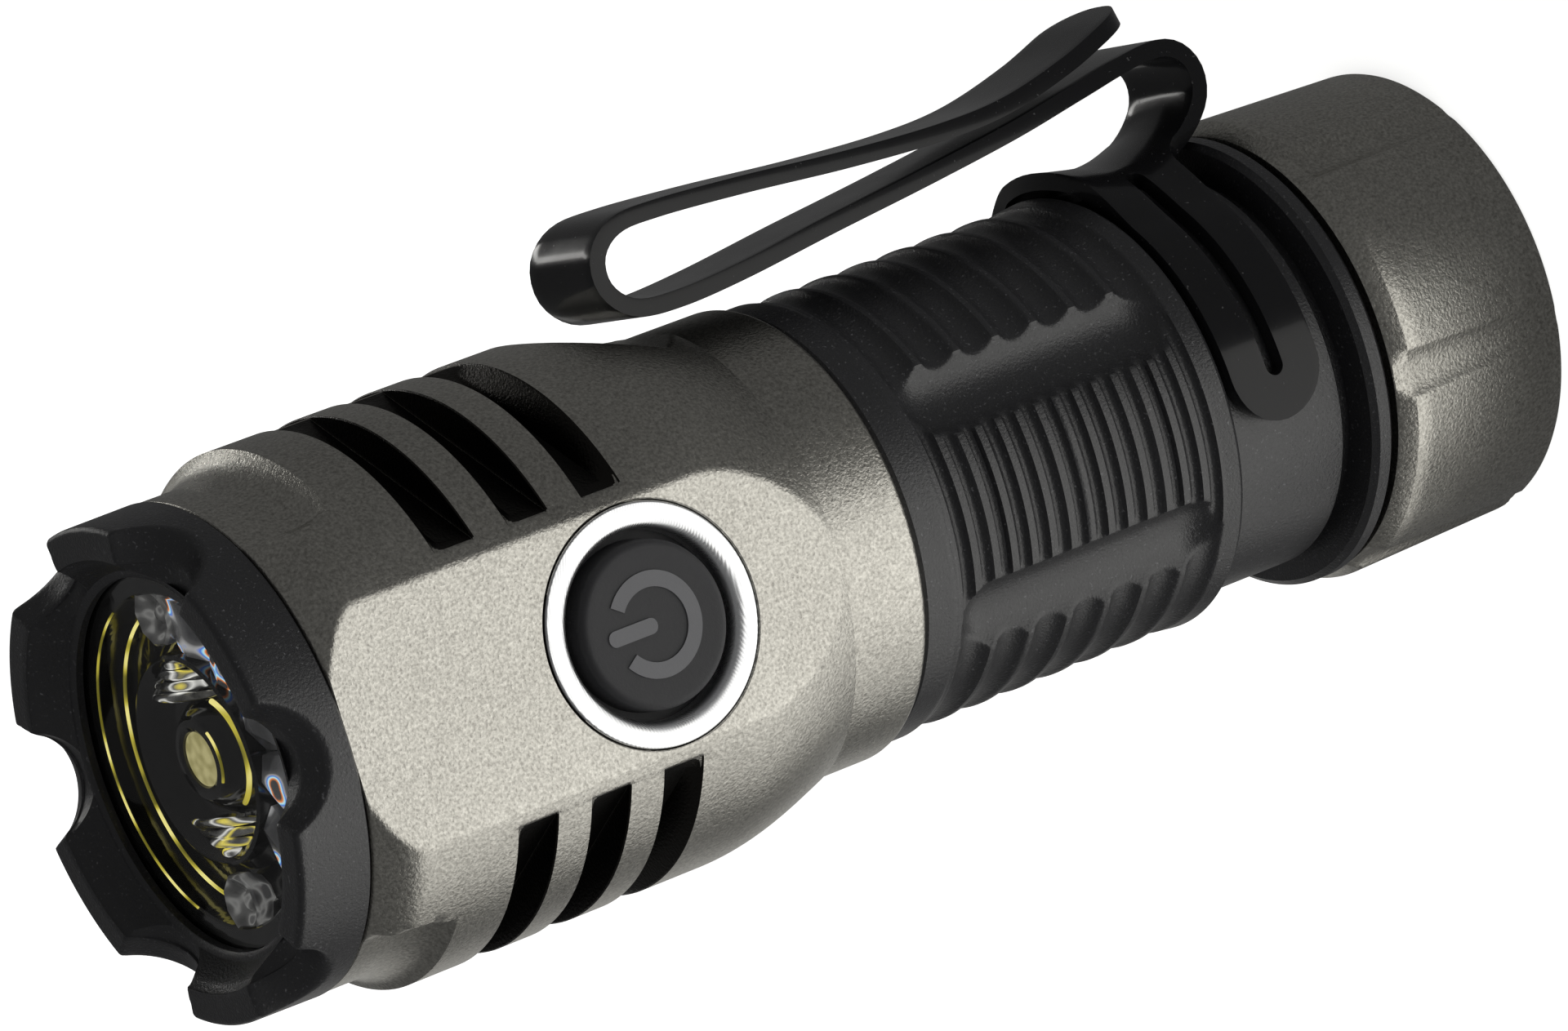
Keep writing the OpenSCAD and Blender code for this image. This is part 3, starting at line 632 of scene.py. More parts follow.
def makeHead(s):
    angles = spans((-180, -124, 2), (-124, -56, 0.5), (-56, -38, 2), (-38, 38, 1), (38, 44, 0.5),
                   (44, 136, 2), (136, 142, 0.5), (142, 178, 1))
    angles = np.array([a for a in angles if a < 179.9])
    half, nick = s.slotWidth / 2, s.slotBreak
    slotEdges = []
    for i in range(s.slotCount):
        mid = s.slotFirst - i * s.slotPitch
        slotEdges += [mid - half - nick, mid - half - 0.005, mid - half, mid - 0.5, mid + 0.5, mid + half,
                      mid + half + 0.005, mid + half + nick]
    heights = spans((s.rear, s.rear + s.rearEdge, 0.08), (s.rear + s.rearEdge, 43.0, 0.36),
                    43.1, 43.2, 43.3, 43.4, (43.4, 50.4, 0.125), (50.4, 52.6, 0.45), *slotEdges,
                    (64, 66, 0.5), (66, s.front - 0.12, 0.12), s.front - 0.05)
    rings = ringsOf(s.rearBore, angles)
    rings += [ringOf(headRadius(z, angles, s), z, angles) for z in heights]
    rings += [ringOf(headRadius(s.front, angles, s) - 0.07, s.front, angles)]
    rings += ringsOf(s.frontBore, angles)
    return shellFrom("headShell", rings)


head = makeHead(named(headSizes))


# switch

switchSizes = {
    "height": 54.0, "well": 4.93, "wellFloor": 6.4, "recess": 5.72, "recessDepth": 10.45, "brim": 0.08,
    "flat": 11.65, "cutterTop": 16, "ringOuter": 5.65, "ringInner": 4.4, "ringTop": 11.70,
    "ringFoot": 10.47, "ringSoft": 0.12, "button": 3.95, "buttonTop": 11.95, "buttonFoot": 9.9,
    "stem": 1.2, "flange": 4.85, "flangeTop": 10.37,
    "mark": 2.1, "stroke": 0.75, "gap": 70.0, "proud": 0.05, "bar": (-0.1, 2.6),
}


def turnedOut(name, profile, s, count=96, closed=True):
    # a lathed piece whose axis points out of the switch flat; its profile is pairs of a radius
    # and a distance from the light's own axis
    turn = np.radians(np.linspace(0, 360, count, endpoint=False))
    rings = [np.stack([r * np.cos(turn), np.full(count, -out), s.height + r * np.sin(turn)], 1)
             for r, out in profile]
    return shellFrom(name, rings, closed)


def roundedCorner(centre, radius, start, end, steps=4):
    # points of an arc in a profile, in degrees
    turns = [math.radians(start + (end - start) * i / steps) for i in range(steps + 1)]
    return [(centre[0] + radius * math.cos(t), centre[1] + radius * math.sin(t)) for t in turns]


def makeSwitch(s):
    brim = s.recess + s.brim
    well = turnedOut("wellCutter", [
        (0, s.wellFloor), (s.well, s.wellFloor), (s.well, s.recessDepth), (s.recess, s.recessDepth),
        (s.recess, s.flat - 0.06), (brim, s.flat + 0.02), (brim, s.cutterTop), (0, s.cutterTop)],
        s, 96, False)
    carve(head, well)
    soft, top, foot = s.ringSoft, s.ringTop, s.ringFoot
    ring = turnedOut("switchRing", [
        (s.ringOuter, foot), *roundedCorner((s.ringOuter - soft, top - soft), soft, 0, 90),
        (s.ringInner + 0.62, top), (s.ringInner + 0.3, top - 0.05), (s.ringInner + 0.1, top - 0.2),
        (s.ringInner, top - 0.42), (s.ringInner, foot)], s, 128)
    crown, base, side, stem = s.buttonTop, s.buttonFoot, s.button, s.stem
    button = turnedOut("button", [
        (0, base - 0.35), (stem, base - 0.35), (stem, base), (s.flange, base), (s.flange, s.flangeTop),
        (side, s.flangeTop), (side - 0.03, crown - 0.42),
        *roundedCorner((side - 0.42, crown - 0.38), 0.38, 5, 90, 6), (side - 0.7, crown - 0.01),
        (side - 1.4, crown - 0.03), (stem, crown - 0.05), (0, crown - 0.05)], s, 96, False)
    return ring, button


def makeMark(s):
    # the power sign: a ring open towards the beam, and a bar in the opening
    inner, outer = s.mark - s.stroke / 2, s.mark + s.stroke / 2
    low, high = s.buttonTop - 0.06, s.buttonTop + s.proud - 0.02
    points, faces = [], []

    def band(pairs):
        # a flat raised strip between two lines, with its walls and ends
        start = len(points)
        for first, second in pairs:
            points.extend([(u, -out, s.height + v) for u, v in (first, second) for out in (high, low)])
        for i in range(len(pairs) - 1):
            a, b = start + 4 * i, start + 4 * i + 4
            faces.extend([(a, a + 2, b + 2, b), (a + 1, b + 1, b + 3, a + 3), (a, b, b + 1, a + 1),
                          (a + 2, a + 3, b + 3, b + 2)])
        last = start + 4 * len(pairs) - 4
        faces.extend([(start, start + 1, start + 3, start + 2), (last, last + 2, last + 3, last + 1)])

    sweep = np.radians(np.linspace(90 + s.gap / 2, 450 - s.gap / 2, 49))
    band([[(r * math.cos(a), r * math.sin(a)) for r in (inner, outer)] for a in sweep])
    tip = s.stroke / 2
    barFoot, barTip = s.bar
    rounded = [(v, math.sqrt(max(tip ** 2 - (tip - v) ** 2, 0.0004))) for v in np.linspace(0.01, tip, 7)]
    bar = [(barFoot + v, w) for v, w in rounded] + [(barTip - v, w) for v, w in reversed(rounded)]
    band([((-w, v), (w, v)) for v, w in bar])
    mark = meshFrom("powerMark", points, faces)
    mend(mark.data)
    return mark


switchRing, button = makeSwitch(named(switchSizes))
powerMark = makeMark(named(switchSizes))
settle(head, "bead_blasted_titanium_grey", "barrel", ["head_shell"])
settle(switchRing, "bright_ring", "barrel", ["switch_ring"])
settle(button, "button_rubber", "button", ["button"])
settle(powerMark, "symbol_print", "button", ["button_symbol"])


# battery tube

tubeSizes = {
    "foot": 4.6, "top": 45.2, "bore": 8.6, "thread": 9.6, "threadEnd": 8.45, "pitch": 1.0,
    "threadDepth": 0.35, "threadFade": 0.4, "edge": 0.3, "land": 10.2, "flange": 11.3, "flangeLow": 10.65,
    "flangeHigh": 11.9, "relief": 9.3, "seatLow": 12.7, "seatHigh": 19.6, "seat": 9.95, "seatEdge": 0.12,
    "band": 10.9, "grip": 10.8, "gripLow": 20.7, "gripHigh": 36.7,
    "headEnd": 38.9, "frontLand": 9.9, "frontLandEnd": 41.0, "frontThread": 9.5,
    "clock": -3.0, "thumbHalf": 29.5, "fineCount": 14, "fineRadius": 0.33, "fineDepth": 0.36,
    "coarseCount": 7, "coarseRadius": 1.25, "coarseDepth": 0.45, "grooveSoft": 0.07,
    "fluteTurn": 29.5, "fluteRadius": 2.4, "fluteSink": 1.1, "fluteInset": 2.2, "fluteSoft": 0.16,
    "fineStep": 0.6, "fineReach": 12, "wideStep": 1.8, "gripStep": 0.097,
}


def tubeRadius(z, angles, s):
    edge, hair = s.edge, 0.01
    line = [(s.foot, s.thread - edge), (s.foot + edge, s.thread), (s.threadEnd, s.thread),
            (s.threadEnd + 0.35, s.land), (s.flangeLow - hair, s.land), (s.flangeLow, s.flange - edge),
            (s.flangeLow + edge, s.flange), (s.flangeHigh - edge, s.flange),
            (s.flangeHigh - hair, s.flange - edge), (s.flangeHigh, s.relief), (s.seatLow - hair, s.relief),
            (s.seatLow, s.seat - s.seatEdge), (s.seatLow + s.seatEdge, s.seat), (s.seatHigh - hair, s.seat),
            (s.seatHigh, s.band - edge), (s.seatHigh + 0.1, s.band - s.seatEdge),
            (s.seatHigh + edge, s.band), (s.gripLow, s.grip), (s.gripHigh, s.grip),
            (s.gripHigh + edge, s.band), (s.headEnd - edge, s.band), (s.headEnd - hair, s.band - edge),
            (s.headEnd, s.frontLand), (s.frontLandEnd, s.frontLand), (s.frontLandEnd + edge, s.frontThread),
            (s.top, s.frontThread)]
    radius = np.full(len(angles), float(np.interp(z, [p[0] for p in line], [p[1] for p in line])))
    if s.foot + edge < z < s.threadEnd:  # one start helical thread
        wave = np.abs(2 * ((z / s.pitch - angles / 360) % 1) - 1)
        fade = min(1, (z - s.foot - edge) / s.threadFade, (s.threadEnd - z) / s.threadFade)
        return radius - s.threadDepth * fade * wave
    if not s.gripLow - edge < z < s.gripHigh + edge:
        return radius
    length = s.gripHigh - s.gripLow
    for half in (-90, 90):
        turn = turnFrom(angles, half + s.clock)
        thumb = np.abs(turn) < s.thumbHalf
        beside = (np.abs(turn) < 90.01) & ~thumb
        for count, cutRadius, depth, where in (
                (s.fineCount, s.fineRadius, s.fineDepth, thumb),
                (s.coarseCount, s.coarseRadius, s.coarseDepth, beside)):
            step = length / count
            nearest = np.clip(round((z - s.gripLow) / step - 0.5), 0, count - 1)
            away = z - (s.gripLow + (nearest + 0.5) * step)
            if abs(away) < cutRadius:
                groove = s.grip + cutRadius - depth - math.sqrt(cutRadius ** 2 - away ** 2)
                cut = softMin(radius, np.full_like(radius, groove), s.grooveSoft)
                radius = np.where(where, cut, radius)
    centre = s.grip + s.fluteRadius - s.fluteSink
    along = max(s.gripLow + s.fluteInset - z, z - s.gripHigh + s.fluteInset, 0)
    for middle in fluteTurns(s):
        turn = np.radians(turnFrom(angles, middle))
        inside = (centre * np.cos(turn)) ** 2 - centre ** 2 - along ** 2 + s.fluteRadius ** 2
        dish = centre * np.cos(turn) - np.sqrt(np.maximum(inside, 0))
        flute = np.where((inside > 0) & (np.abs(turn) < 0.5), dish, noCut)
        radius = softMin(radius, flute, s.fluteSoft)
    return radius


def fluteTurns(s):
    return [half + s.clock + side * s.fluteTurn for half in (-90, 90) for side in (-1, 1)]


def makeTube(s):
    parts, at = [], -180.0
    for flute in sorted(fluteTurns(s)):
        start, end = flute - s.fineReach, flute + s.fineReach
        parts += [(at, start, s.wideStep), (start, end, s.fineStep)]
        at = end
    angles = spans(*parts, (at, 180 - s.wideStep, s.wideStep))
    edge, hair = s.edge, 0.01
    heights = spans(
        (s.foot, s.threadEnd + 0.35, 0.14), 9.5, s.flangeLow - hair, s.flangeLow,
        (s.flangeLow + 0.02, s.flangeLow + edge, 0.1), (s.flangeHigh - edge, s.flangeHigh - hair, 0.1),
        s.flangeHigh, s.seatLow - hair, s.seatLow, s.seatLow + 0.05, s.seatLow + s.seatEdge, (14, 19, 1.0),
        s.seatHigh - hair, *(s.seatHigh + up for up in (0, 0.05, 0.1, 0.2, edge, 0.6)),
        (s.gripLow - 0.2, s.gripHigh + 0.2, s.gripStep), 37.0, 37.2, (37.7, 38.5, 0.4),
        (s.headEnd - edge, s.headEnd - hair, 0.1), s.headEnd, s.frontLandEnd, s.frontLandEnd + edge, s.top)
    rings = [ringOf(tubeRadius(z, angles, s), z, angles) for z in heights]
    rings += [ringOf(s.bore, s.top, angles), ringOf(s.bore, s.foot, angles)]
    return shellFrom("batteryTube", rings, True)


settle(makeTube(named(tubeSizes)), "black_anodised", "barrel", ["battery_tube"])


# tail cap

capSizes = {
    "length": 10.35, "radius": 11.65, "tailRadius": 11.4, "chamfer": 0.5, "foot": 0.45,
    "fluteCount": 6, "fluteTurn": -40.0, "fluteRadius": 2.1, "fluteDepth": 0.46,
    "land": 10.25, "landLow": 8.5, "thread": 9.65, "floor": 3.75, "pocket": 6.05, "pocketLow": 1.6,
    "coarseStep": 1.5, "fineStep": 0.5, "fineReach": 7.5, "soft": 0.03, "brow": 0.9,
}


def makeCap(s):
    step = 360 / s.fluteCount
    marks = sorted(turnFrom(s.fluteTurn + i * step, 0) for i in range(s.fluteCount))
    parts, at = [], -180.0
    for mark in marks:
        start, end = mark - s.fineReach, mark + s.fineReach
        parts += [(at, start, s.coarseStep), (start, end, s.fineStep)]
        at = end
    angles = spans(*parts, (at, 180 - s.coarseStep, s.coarseStep))

    def outer(radius):
        cut = np.full(len(angles), noCut)
        centre = s.radius + s.fluteRadius - s.fluteDepth
        for mark in marks:
            turn = np.radians(turnFrom(angles, mark))
            inside = s.fluteRadius ** 2 - (centre * np.sin(turn)) ** 2
            dish = centre * np.cos(turn) - np.sqrt(np.maximum(inside, 0))
            cut = np.where((inside > 0) & (np.abs(turn) < 0.3), np.minimum(cut, dish), cut)
        return softMin(np.full(len(angles), radius), cut, s.soft)

    length, chamfer, foot, tail = s.length, s.chamfer, s.foot, s.tailRadius
    line = [(tail - foot, 0)]
    for t in (20, 40, 60, 80, 90):
        turn = math.radians(t)
        line.append((tail - foot + foot * math.sin(turn), foot - foot * math.cos(turn)))
    for z in np.linspace(foot, length - s.brow, 10)[1:]:
        line.append((tail + (s.radius - tail) * (z - foot) / (length - s.brow - foot), z))
    line += [(s.radius - 0.02, length - 0.84), (s.radius - chamfer + 0.05, length - 0.06),
             (s.radius - chamfer, length)]
    rings = [ringOf(0, 0, angles)] + [ringOf(outer(r), z, angles) for r, z in line]
    rings += [ringOf(r, z, angles) for r, z in (
        (s.land + 0.1, length), (s.land, length - 0.1), (s.land, s.landLow), (s.thread, s.landLow),
        (s.thread, s.floor), (s.pocket, s.floor), (s.pocket, s.pocketLow), (0, s.pocketLow))]
    return shellFrom("tailCap", rings)


settle(makeCap(named(capSizes)), "bead_blasted_titanium_grey", "cap", ["tail_cap"])


# bezel

bezelSizes = {
    "radius": 11.9, "base": 70.76, "crown": 74.6, "skirt": 10.45, "skirtLow": 66.6, "bore": 9.5,
    "mouth": 10.3, "lip": 8.95, "lipLow": 72.35, "lipHigh": 72.85,
    "notchCount": 6, "notchTurn": -90.0, "notchHeight": 75.5, "notchOuter": 3.35, "notchInner": 2.7,
    "notchSoft": 0.4, "rimSoft": 0.32, "swell": 0.04, "foot": 0.14,
}


def makeBezel(s):
    angles = np.linspace(-180, 180, 720, endpoint=False)

    def topAt(radius, height):
        # height of the crown where the notches leave it
        top = np.full(len(angles), float(height))
        for i in range(s.notchCount):
            turn = np.radians(turnFrom(angles, s.notchTurn + i * 360 / s.notchCount))
            across, out = radius * np.sin(turn), radius * np.cos(turn)
            size = s.notchInner + (s.notchOuter - s.notchInner) * (out - s.mouth) / (s.radius - s.mouth)
            inside = size ** 2 - across ** 2
            notch = s.notchHeight - np.sqrt(np.maximum(inside, 0))
            top = softMin(top, np.where((inside > 0) & (out > 0), notch, noCut), s.notchSoft)
        return top

    radius, crown, soft, wall = s.radius, s.crown, s.rimSoft, s.base + s.foot
    rings = [ringOf(r, z, angles) for r, z in (
        (s.bore, s.skirtLow), (s.skirt, s.skirtLow), (s.skirt, s.base),
        (radius - 0.1, s.base), (radius + s.swell, wall))]
    edgeFoot = topAt(radius, crown) - soft
    for f in np.linspace(0.12, 1, 14):  # outer wall, up to where the crown's edge starts to round
        rings.append(ringOf(radius + s.swell * (1 - f), wall * (1 - f) + edgeFoot * f, angles))
    for t in (18, 36, 54, 72, 90):
        turn = math.radians(t)
        drop = soft * (1 - math.sin(turn))
        r = radius - soft * (1 - math.cos(turn))
        rings.append(ringOf(r, topAt(r, crown) - drop, angles))
    for r in np.linspace(radius - soft, s.mouth + 0.2, 6)[1:]:
        rings.append(ringOf(r, topAt(r, crown), angles))
    rings.append(ringOf(s.mouth + 0.05, topAt(s.mouth + 0.05, crown) - 0.05, angles))
    innerTop = topAt(s.mouth, crown) - 0.18
    rings.append(ringOf(s.mouth, innerTop, angles))
    for f in np.linspace(0, 1, 7)[1:]:
        z = innerTop * (1 - f) + (s.lipHigh + 0.05) * f
        slope = s.mouth - (s.mouth - s.lip - 0.35) * (crown - z) / (crown - s.lipHigh)
        rings.append(ringOf(np.minimum(slope, s.mouth), z, angles))
    rings += [ringOf(r, z, angles) for r, z in (
        (s.lip + 0.12, s.lipHigh), (s.lip, s.lipHigh - 0.12), (s.lip, s.lipLow), (s.bore, s.lipLow))]
    return shellFrom("bezelCrown", rings, True)


settle(makeBezel(named(bezelSizes)), "black_anodised", "barrel", ["bezel"], 38)


# pocket clip

clipSizes = {
    "thick": 0.85, "halfWidth": 2.75, "bandMiddle": 16.6, "bandHalf": 2.6, "bandRadius": 10.405,
    "armTurn": 86.0, "slotTurn": 22.0, "slotHalf": 0.5, "fillet": 1.5, "rise": 0.45, "riseReach": 3.2,
    "bevel": 0.3, "tip": 2.5, "fall": 4.2, "curl": 3.2, "stripStep": 0.42, "rows": 6,
    "line": [(20, 11.75), (18.4, 11.4), (16.4, 11.1), (14.2, 11.3), (12.2, 11.95), (10.75, 13.1), (10.55, 14.6),
             (11.5, 15.75), (13.4, 15.95), (17.4, 15.3), (21.6, 14.6), (27, 13.95), (32.9, 13.35), (38.4, 12.75),
             (42.2, 12.55), (44.6, 12.85), (45.85, 14.1), (45.75, 15.7), (44.4, 16.75), (42, 16.88), (37, 16.55),
             (31, 16), (25.6, 15.7), (21.6, 15.85), (17.6, 16.7), (14.6, 17.7), (12.9, 18.15)],
}


def smoothLine(points, steps):
    points = np.array(points, float)
    found = []
    for i in range(len(points) - 1):
        a, b, c, d = points[max(i - 1, 0)], points[i], points[i + 1], points[min(i + 2, len(points) - 1)]
        for k in range(steps):
            t = k / steps
            bend = (2 * a - 5 * b + 4 * c - d) * t * t + (3 * b - a - 3 * c + d) * t ** 3
            found.append(0.5 * (2 * b + (c - a) * t + bend))
    found.append(points[-1])
    return np.array(found)


def makeClip(s):
    line = smoothLine(s.line, 24)
    middle, half, wide = s.bandMiddle, s.bandHalf, s.halfWidth
    rootLow = middle - half - s.fillet + 0.2
    rootPart = line[: int(np.argmin(np.abs(line[:110, 0] - rootLow))) + 1]
    order = np.argsort(rootPart[:, 0])

    def lift(z):
        return np.interp(z, rootPart[order, 0], rootPart[order, 1]) - s.bandRadius

    def onBand(side, z):
        # a point of the band's middle sheet: side is the distance round it from the strip's middle
        turn = side / s.bandRadius
        fall = np.clip((abs(side) - wide) / s.fall, 0, 1)
        weight = (1 - fall) ** 2 * (1 + 2 * fall)
        return (s.bandRadius * math.cos(turn) + lift(z) * weight, s.bandRadius * math.sin(turn), z)

    armEnd, slotStart = (math.radians(turn) * s.bandRadius for turn in (s.armTurn, s.slotTurn))
    quarter = np.radians(np.linspace(0, 90, 9))
    sides = np.concatenate([
        np.linspace(0, wide, 5), wide + s.fillet * (1 - np.cos(quarter)),
        slotStart - s.slotHalf * np.sin(quarter), np.linspace(slotStart, armEnd, 26),
        armEnd + s.slotHalf * np.sin(quarter), armEnd + half * np.sin(quarter)])
    sides = np.array(sorted(set(np.round(sides, 4))))

    def limits(side):
        low, high, gap = middle - half, middle + half, 0.0
        if side < wide + s.fillet:
            into = np.clip(side - wide, 0, s.fillet)
            low -= s.fillet - math.sqrt(max(s.fillet ** 2 - (s.fillet - into) ** 2, 0))
            low = max(low, rootLow) if side > wide else rootLow
        away = np.clip(side / (wide + s.riseReach), 0, 1)
        high += s.rise * (1 - away) ** 2 * (1 + 2 * away)
        if side > armEnd:
            reach = math.sqrt(max(half ** 2 - (side - armEnd) ** 2, 0))
            low, high = middle - reach, middle + reach
        outside = max(slotStart - side, side - armEnd, 0)
        if outside < s.slotHalf:
            gap = math.sqrt(s.slotHalf ** 2 - outside ** 2)
        return low, high, gap

    points, faces = [], []

    def sheet(grid):
        start = len(points)
        count, across = grid.shape[:2]
        points.extend(map(tuple, grid.reshape(-1, 3)))
        for i in range(count - 1):
            for j in range(across - 1):
                k = start + i * across + j
                faces.append((k, k + 1, k + across + 1, k + across))

    signed = np.concatenate([-sides[::-1], sides[1:]])
    for lower in (True, False):
        rows = []
        for f in np.linspace(0, 1, s.rows + 1):
            row = []
            for side in signed:
                low, high, gap = limits(abs(side))
                z = low + (middle - gap - low) * f if lower else middle + gap + (high - middle - gap) * f
                row.append(onBand(side, z))
            rows.append(row)
        sheet(np.array(rows).transpose(1, 0, 2))
    # the strip from the band's foot to its tip
    strip = line[len(rootPart) - 1:]
    strip[0, 0] = rootLow
    strip[0, 1] = lift(rootLow) + s.bandRadius
    length = np.concatenate([[0], np.cumsum(np.linalg.norm(np.diff(strip, axis=0), axis=1))])
    total = length[-1]
    tip = s.tip
    rounding = 1 - np.sin(np.linspace(0.05, np.pi / 2, 12))
    stops = np.concatenate([np.arange(0, total - tip - 0.1, s.stripStep), total - tip * rounding])
    across = np.concatenate([-sides[sides <= wide][::-1], sides[1:][sides[1:] <= wide]])
    rows = []
    for stop in stops:
        z, x = np.interp(stop, length, strip[:, 0]), np.interp(stop, length, strip[:, 1])
        curl = np.clip(1 - stop / s.curl, 0, 1)
        curl = curl * curl * (3 - 2 * curl)
        left = total - stop
        narrow = 1 if left > tip else (wide - tip + math.sqrt(max(tip ** 2 - (tip - left) ** 2, 0))) / wide
        row = []
        for side in across:
            turn = side * narrow / s.bandRadius
            bow = s.bandRadius * (1 - math.cos(turn))
            y = side * narrow * (1 - curl) + s.bandRadius * math.sin(turn) * curl
            row.append((x - curl * bow, y, z))
        rows.append(row)
    sheet(np.array(rows).transpose(1, 0, 2))
    clip = meshFrom("springClip", points, faces)
    mend(clip.data, join=3e-6)
    plate = clip.modifiers.new("plate", "SOLIDIFY")
    plate.thickness = s.thick * mm
    plate.offset = 0
    plate.use_even_offset = True
    rim = clip.modifiers.new("rim", "BEVEL")
    rim.width = s.bevel * mm
    rim.segments = 4
    rim.limit_method = "ANGLE"
    rim.angle_limit = math.radians(50)
    return plainMesh(clip)


settle(makeClip(named(clipSizes)), "clip_steel", "clip", ["pocket_clip"], 40)


# optic, its small lenses and the emitter's image

opticSizes = {
    "profile": [(1.3, 71.6), (1.36, 71.92), (1.55, 72.03), (1.9, 71.98), (2.3, 71.6), (3.0, 70.6), (3.7, 70.75),
                (4.3, 71.5), (4.65, 72.0), (4.85, 72.15), (5.02, 72.05), (5.08, 71.25), (5.6, 70.8), (7.05, 70.8),
                (7.2, 71.15), (7.85, 71.2), (7.95, 72.08), (8.05, 72.18), (9.3, 72.18), (9.3, 70.75), (9.0, 70.35),
                (1.3, 70.35)],
    "glintArcs": [(8.0, 0.06, 72.16, 25, 125), (7.22, 0.085, 71.18, 20, 140), (2.75, 0.13, 71.1, -150, 125),
                  (1.95, 0.07, 71.98, -125, 75)],
    "emitter": 1.3, "emitterHeight": 71.9,
    "ribFirst": 3.0, "ribPitch": 0.5, "ribCount": 4, "ribThick": 0.24, "ribHeight": 71.98, "ribSides": 10,
    "ribRim": 4.75, "ribShare": 0.92, "ribSag": 0.5, "ribFall": 0.12,
    "wings": 5, "wingStart": -146, "wingSweep": 140, "wingInner": 5.15, "wingOuter": 7.85, "wingTop": 72.15,
    "wingShare": 0.94, "wingDeep": 1.1, "wingDrops": (0.9, 0.25, 0.6, 0.35, 0, 0.2),
    "lensAt": 6.9, "lensWide": 1.5, "lensTop": 72.15, "lensSides": 9,
    "window": 9.44, "windowLow": 72.24, "windowTop": 72.32,
}


def makeOptic(s):
    angles = np.linspace(0, 360, 144, endpoint=False)
    body = shellFrom("opticBody", ringsOf(s.profile, angles), True)
    emitter = shellFrom("emitterImage", [ringOf(r, z, angles[::3]) for r, z in (
        (0, s.emitterHeight - 0.3), (s.emitter, s.emitterHeight - 0.3), (s.emitter, s.emitterHeight - 0.08),
        (s.emitter - 0.2, s.emitterHeight), (0, s.emitterHeight + 0.04))])
    points, faces, sides = [], [], s.ribSides
    across = np.linspace(-1, 1, 9)
    for i in range(s.ribCount):
        start = len(points)
        out = s.ribFirst + i * s.ribPitch
        reach = math.sqrt(max(s.ribRim ** 2 - out ** 2, 0.2)) * s.ribShare
        for f in across:
            thick = s.ribThick * math.sqrt(max(1 - f * f * 0.9, 0))
            middle = s.ribHeight - s.ribSag * f * f
            for t in np.linspace(0, 360, sides, endpoint=False):
                turn = math.radians(t)
                points.append((out + thick * math.cos(turn), reach * f,
                               middle + thick * math.sin(turn) - s.ribFall * (out - s.ribFirst)))
        for j in range(len(across) - 1):
            for k in range(sides):
                m, a = (k + 1) % sides, start + j * sides
                faces.append((a + k, a + m, a + sides + m, a + sides + k))
        last = start + (len(across) - 1) * sides
        faces += [tuple(start + k for k in reversed(range(sides))), tuple(last + k for k in range(sides))]
    shape = meshFrom("ribShape", points, faces)
    ribPair = copiesRound("opticRibs", shape, "rib_glass", 2, 0.0, 0.0, 0.0, 360.0)
    bpy.data.objects.remove(shape)
    # a wing is a clear wedge with a ridge, between the main lens and the rim
    half = math.radians(s.wingSweep / s.wings / 2) * s.wingShare
    outline = [(radius * math.cos(t), radius * math.sin(t)) for radius in (s.wingInner, s.wingOuter)
               for t in (-half, 0, half)]
    points = [(x, y, s.wingTop - s.wingDeep) for x, y in outline]
    points += [(x, y, s.wingTop - drop) for (x, y), drop in zip(outline, s.wingDrops)]
    faces = [(0, 1, 4, 3), (1, 2, 5, 4), (6, 9, 10, 7), (7, 10, 11, 8), (0, 3, 9, 6), (3, 4, 10, 9),
             (4, 5, 11, 10), (5, 2, 8, 11), (2, 1, 7, 8), (1, 0, 6, 7)]
    shape = meshFrom("wingShape", points, [tuple(reversed(face)) for face in faces])
    mend(shape.data, triangles=True)
    wings = copiesRound("opticWings", shape, "wing_glass", s.wings, 0.0, 0.0,
                        s.wingStart + s.wingSweep / s.wings / 2, float(s.wingSweep))
    bpy.data.objects.remove(shape)
    window = shellFrom("frontWindow", [ringOf(r, z, angles) for r, z in (
        (0, s.windowLow), (s.window, s.windowLow), (s.window, s.windowTop), (0, s.windowTop))])
    settle(window, "clear_glass", "barrel", ["lens_window"], 40)
    few = np.linspace(0, 360, s.lensSides, endpoint=False)
    wide, high = s.lensWide, s.lensTop
    shape = shellFrom("lensShape", [ringOf(r, z, few) for r, z in (
        (0, high - 1.3), (wide - 0.4, high - 1.3), (wide, high - 0.6), (wide, high - 0.12),
        (wide - 0.12, high), (wide - 0.45, high - 0.25), (0.55, high - 0.6), (0.3, high - 0.38),
        (0, high - 0.34))])
    lenses = copiesRound("smallLenses", shape, "lens_glass", 2, s.lensAt, 0.0, 0.0, 360.0)
    bpy.data.objects.remove(shape)
    # painted reflections: thin glowing yellow rods stand in for the emitter's colour caught on the optic's rims
    glints = [rodRound("lensGlint%d" % i, "yellow_glint", float(r), thick, z, float(start), float(sweep))
              for i, (r, thick, z, start, sweep) in enumerate(s.glintArcs)]
    return body, emitter, ribPair, wings, lenses, glints


opticBody, emitterImage, opticRibs, opticWings, smallLenses, lensGlints = makeOptic(named(opticSizes))
settle(opticBody, "lens_black", "barrel", ["optic"], 25)
# painted light: the emitter's image glows faintly, standing in for the light it catches; the flashlight is not
# switched on
settle(emitterImage, "emitter_glow", "barrel", [])
settle(opticRibs, "rib_glass", "barrel", [], 50)
settle(opticWings, "wing_glass", "barrel", [], 5)
settle(smallLenses, "lens_glass", "barrel", [], 20)
for glint in lensGlints:
    settle(glint, "yellow_glint", "barrel", [], 60)


# front spring

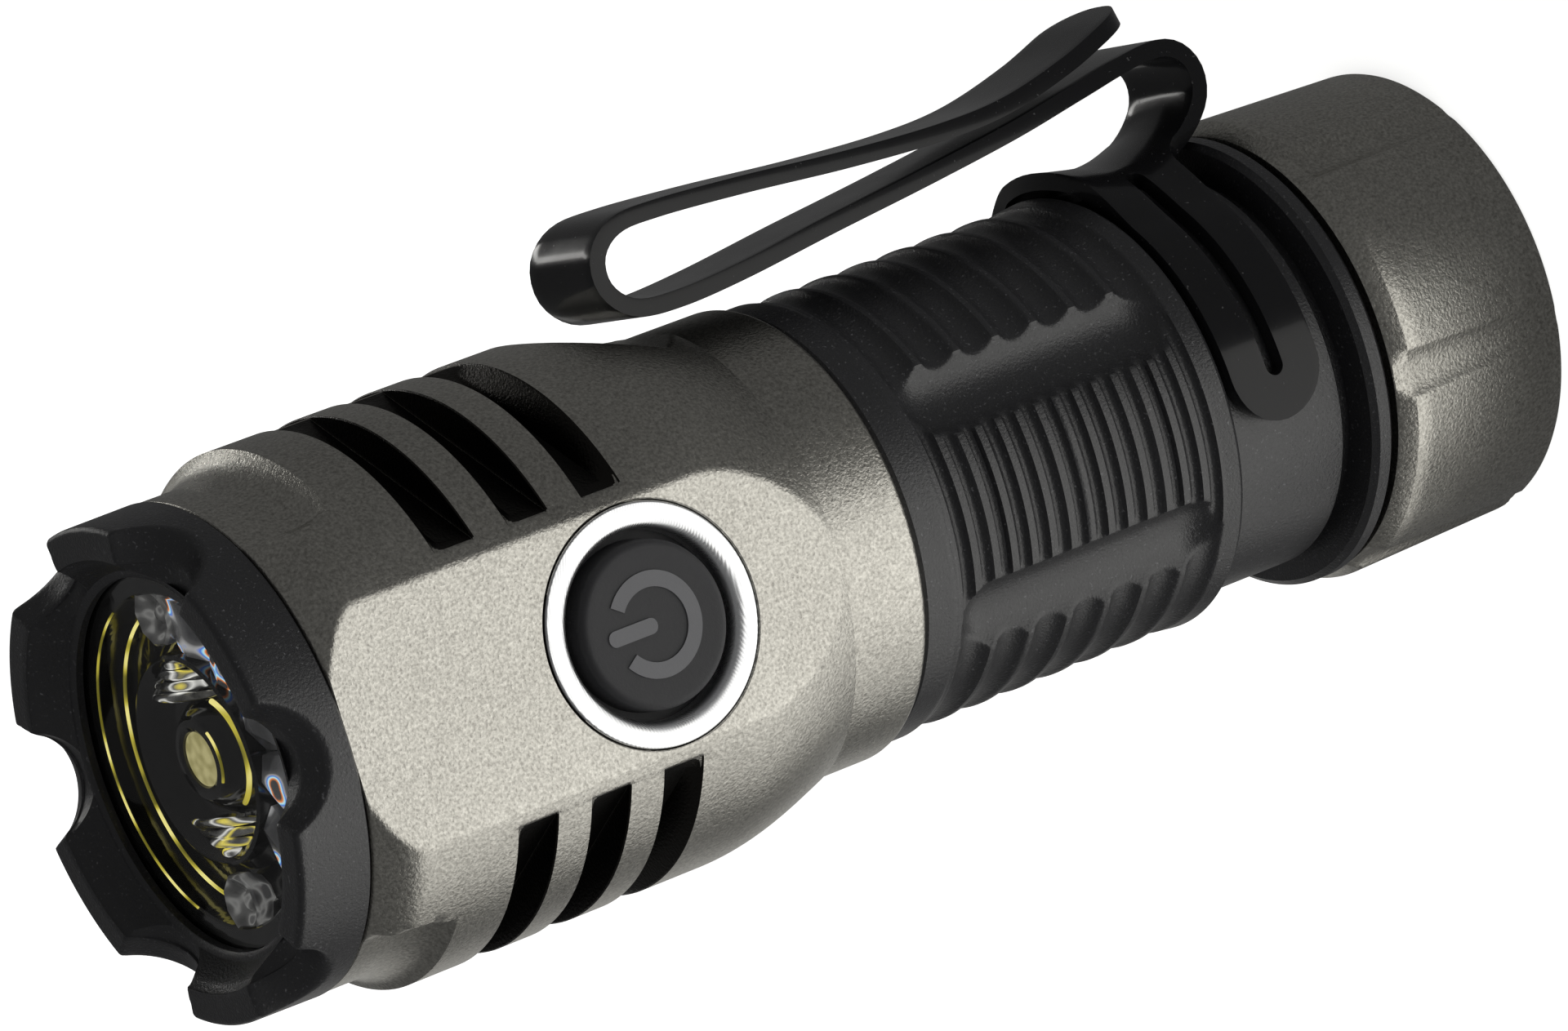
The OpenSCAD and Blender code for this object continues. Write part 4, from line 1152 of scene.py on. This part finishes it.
springSizes = {"low": 42.52, "high": 45.3, "foot": 2.2, "tip": 3.4, "turns": 3, "wire": 0.35}
settle(coilUp("frontSpring", "gold_contact", **springSizes), "gold_contact", "barrel", ["front_spring"], 60)


# floor and light

def makeStage(s):
    size, low = s.floorSize, s.floorLow
    floor = meshFrom("studioFloor", [(-size, -size, low), (size, -size, low), (size, size, low),
                                     (-size, size, low)], [(0, 1, 2, 3)])
    paint = Finish("floorPaint", Roughness=0.9, Emission_Color=(1, 1, 0.99, 1), Emission_Strength=s.floorGlow)
    cloud = paint.noise(260, 2)
    paint.colour(paint.blend(cloud, (0.90, 0.90, 0.895), (0.88, 0.88, 0.875)))
    floor.data.materials.append(paint.material)
    floor.visible_glossy = floor.visible_transmission = False
    world = bpy.data.worlds.new("studioAir")
    bpy.context.scene.world = world
    world.use_nodes = True
    sky = world.node_tree.nodes["Background"].inputs
    sky["Color"].default_value = (1, 1, 1, 1)
    sky["Strength"].default_value = s.skyGrey


def glowCard(name, corners, grey):
    # a soft card seen only in reflections, as a studio reflector is
    card = meshFrom(name, corners, [tuple(range(len(corners)))])
    paint = Finish(name + "Paint", Roughness=1.0, Emission_Color=(1, 0.99, 0.96, 1), Emission_Strength=grey)
    paint.colour(paint.blend(paint.noise(60, 2), 0.0, 0.01))
    card.data.materials.append(paint.material)
    card.visible_camera = card.visible_diffuse = card.visible_shadow = card.visible_transmission = False


makeStage(named(stageSizes))
glowCard("brightCard", [(6, -24, 1), (120, -450, 1), (-300, -450, 1), (-480, -336, 1), (-20, -14, 1)], 1.45)
glowCard("lowCard", [(-20, -14, 1), (-480, -336, 1), (-480, -10, 1), (-24, -1, 1)], 0.95)
glowCard("sideCard", [(-14, 20, 1), (-160, 420, 1), (-420, 330, 1), (-24, 14, 1)], 0.5)
glowCard("stripCard", [(190, 420, 10), (230, 420, 10), (230, 420, 300), (190, 420, 300)], 6.0)
bpy.context.scene.view_settings.view_transform = "Standard"
softLight("keyLight", (-260, -420, 420), (0, 0, 40), 380, 380, 1.2)
softLight("rearLight", (-60, 420, 300), (0, 0, 50), 300, 200, 0.8)
print("stage set")
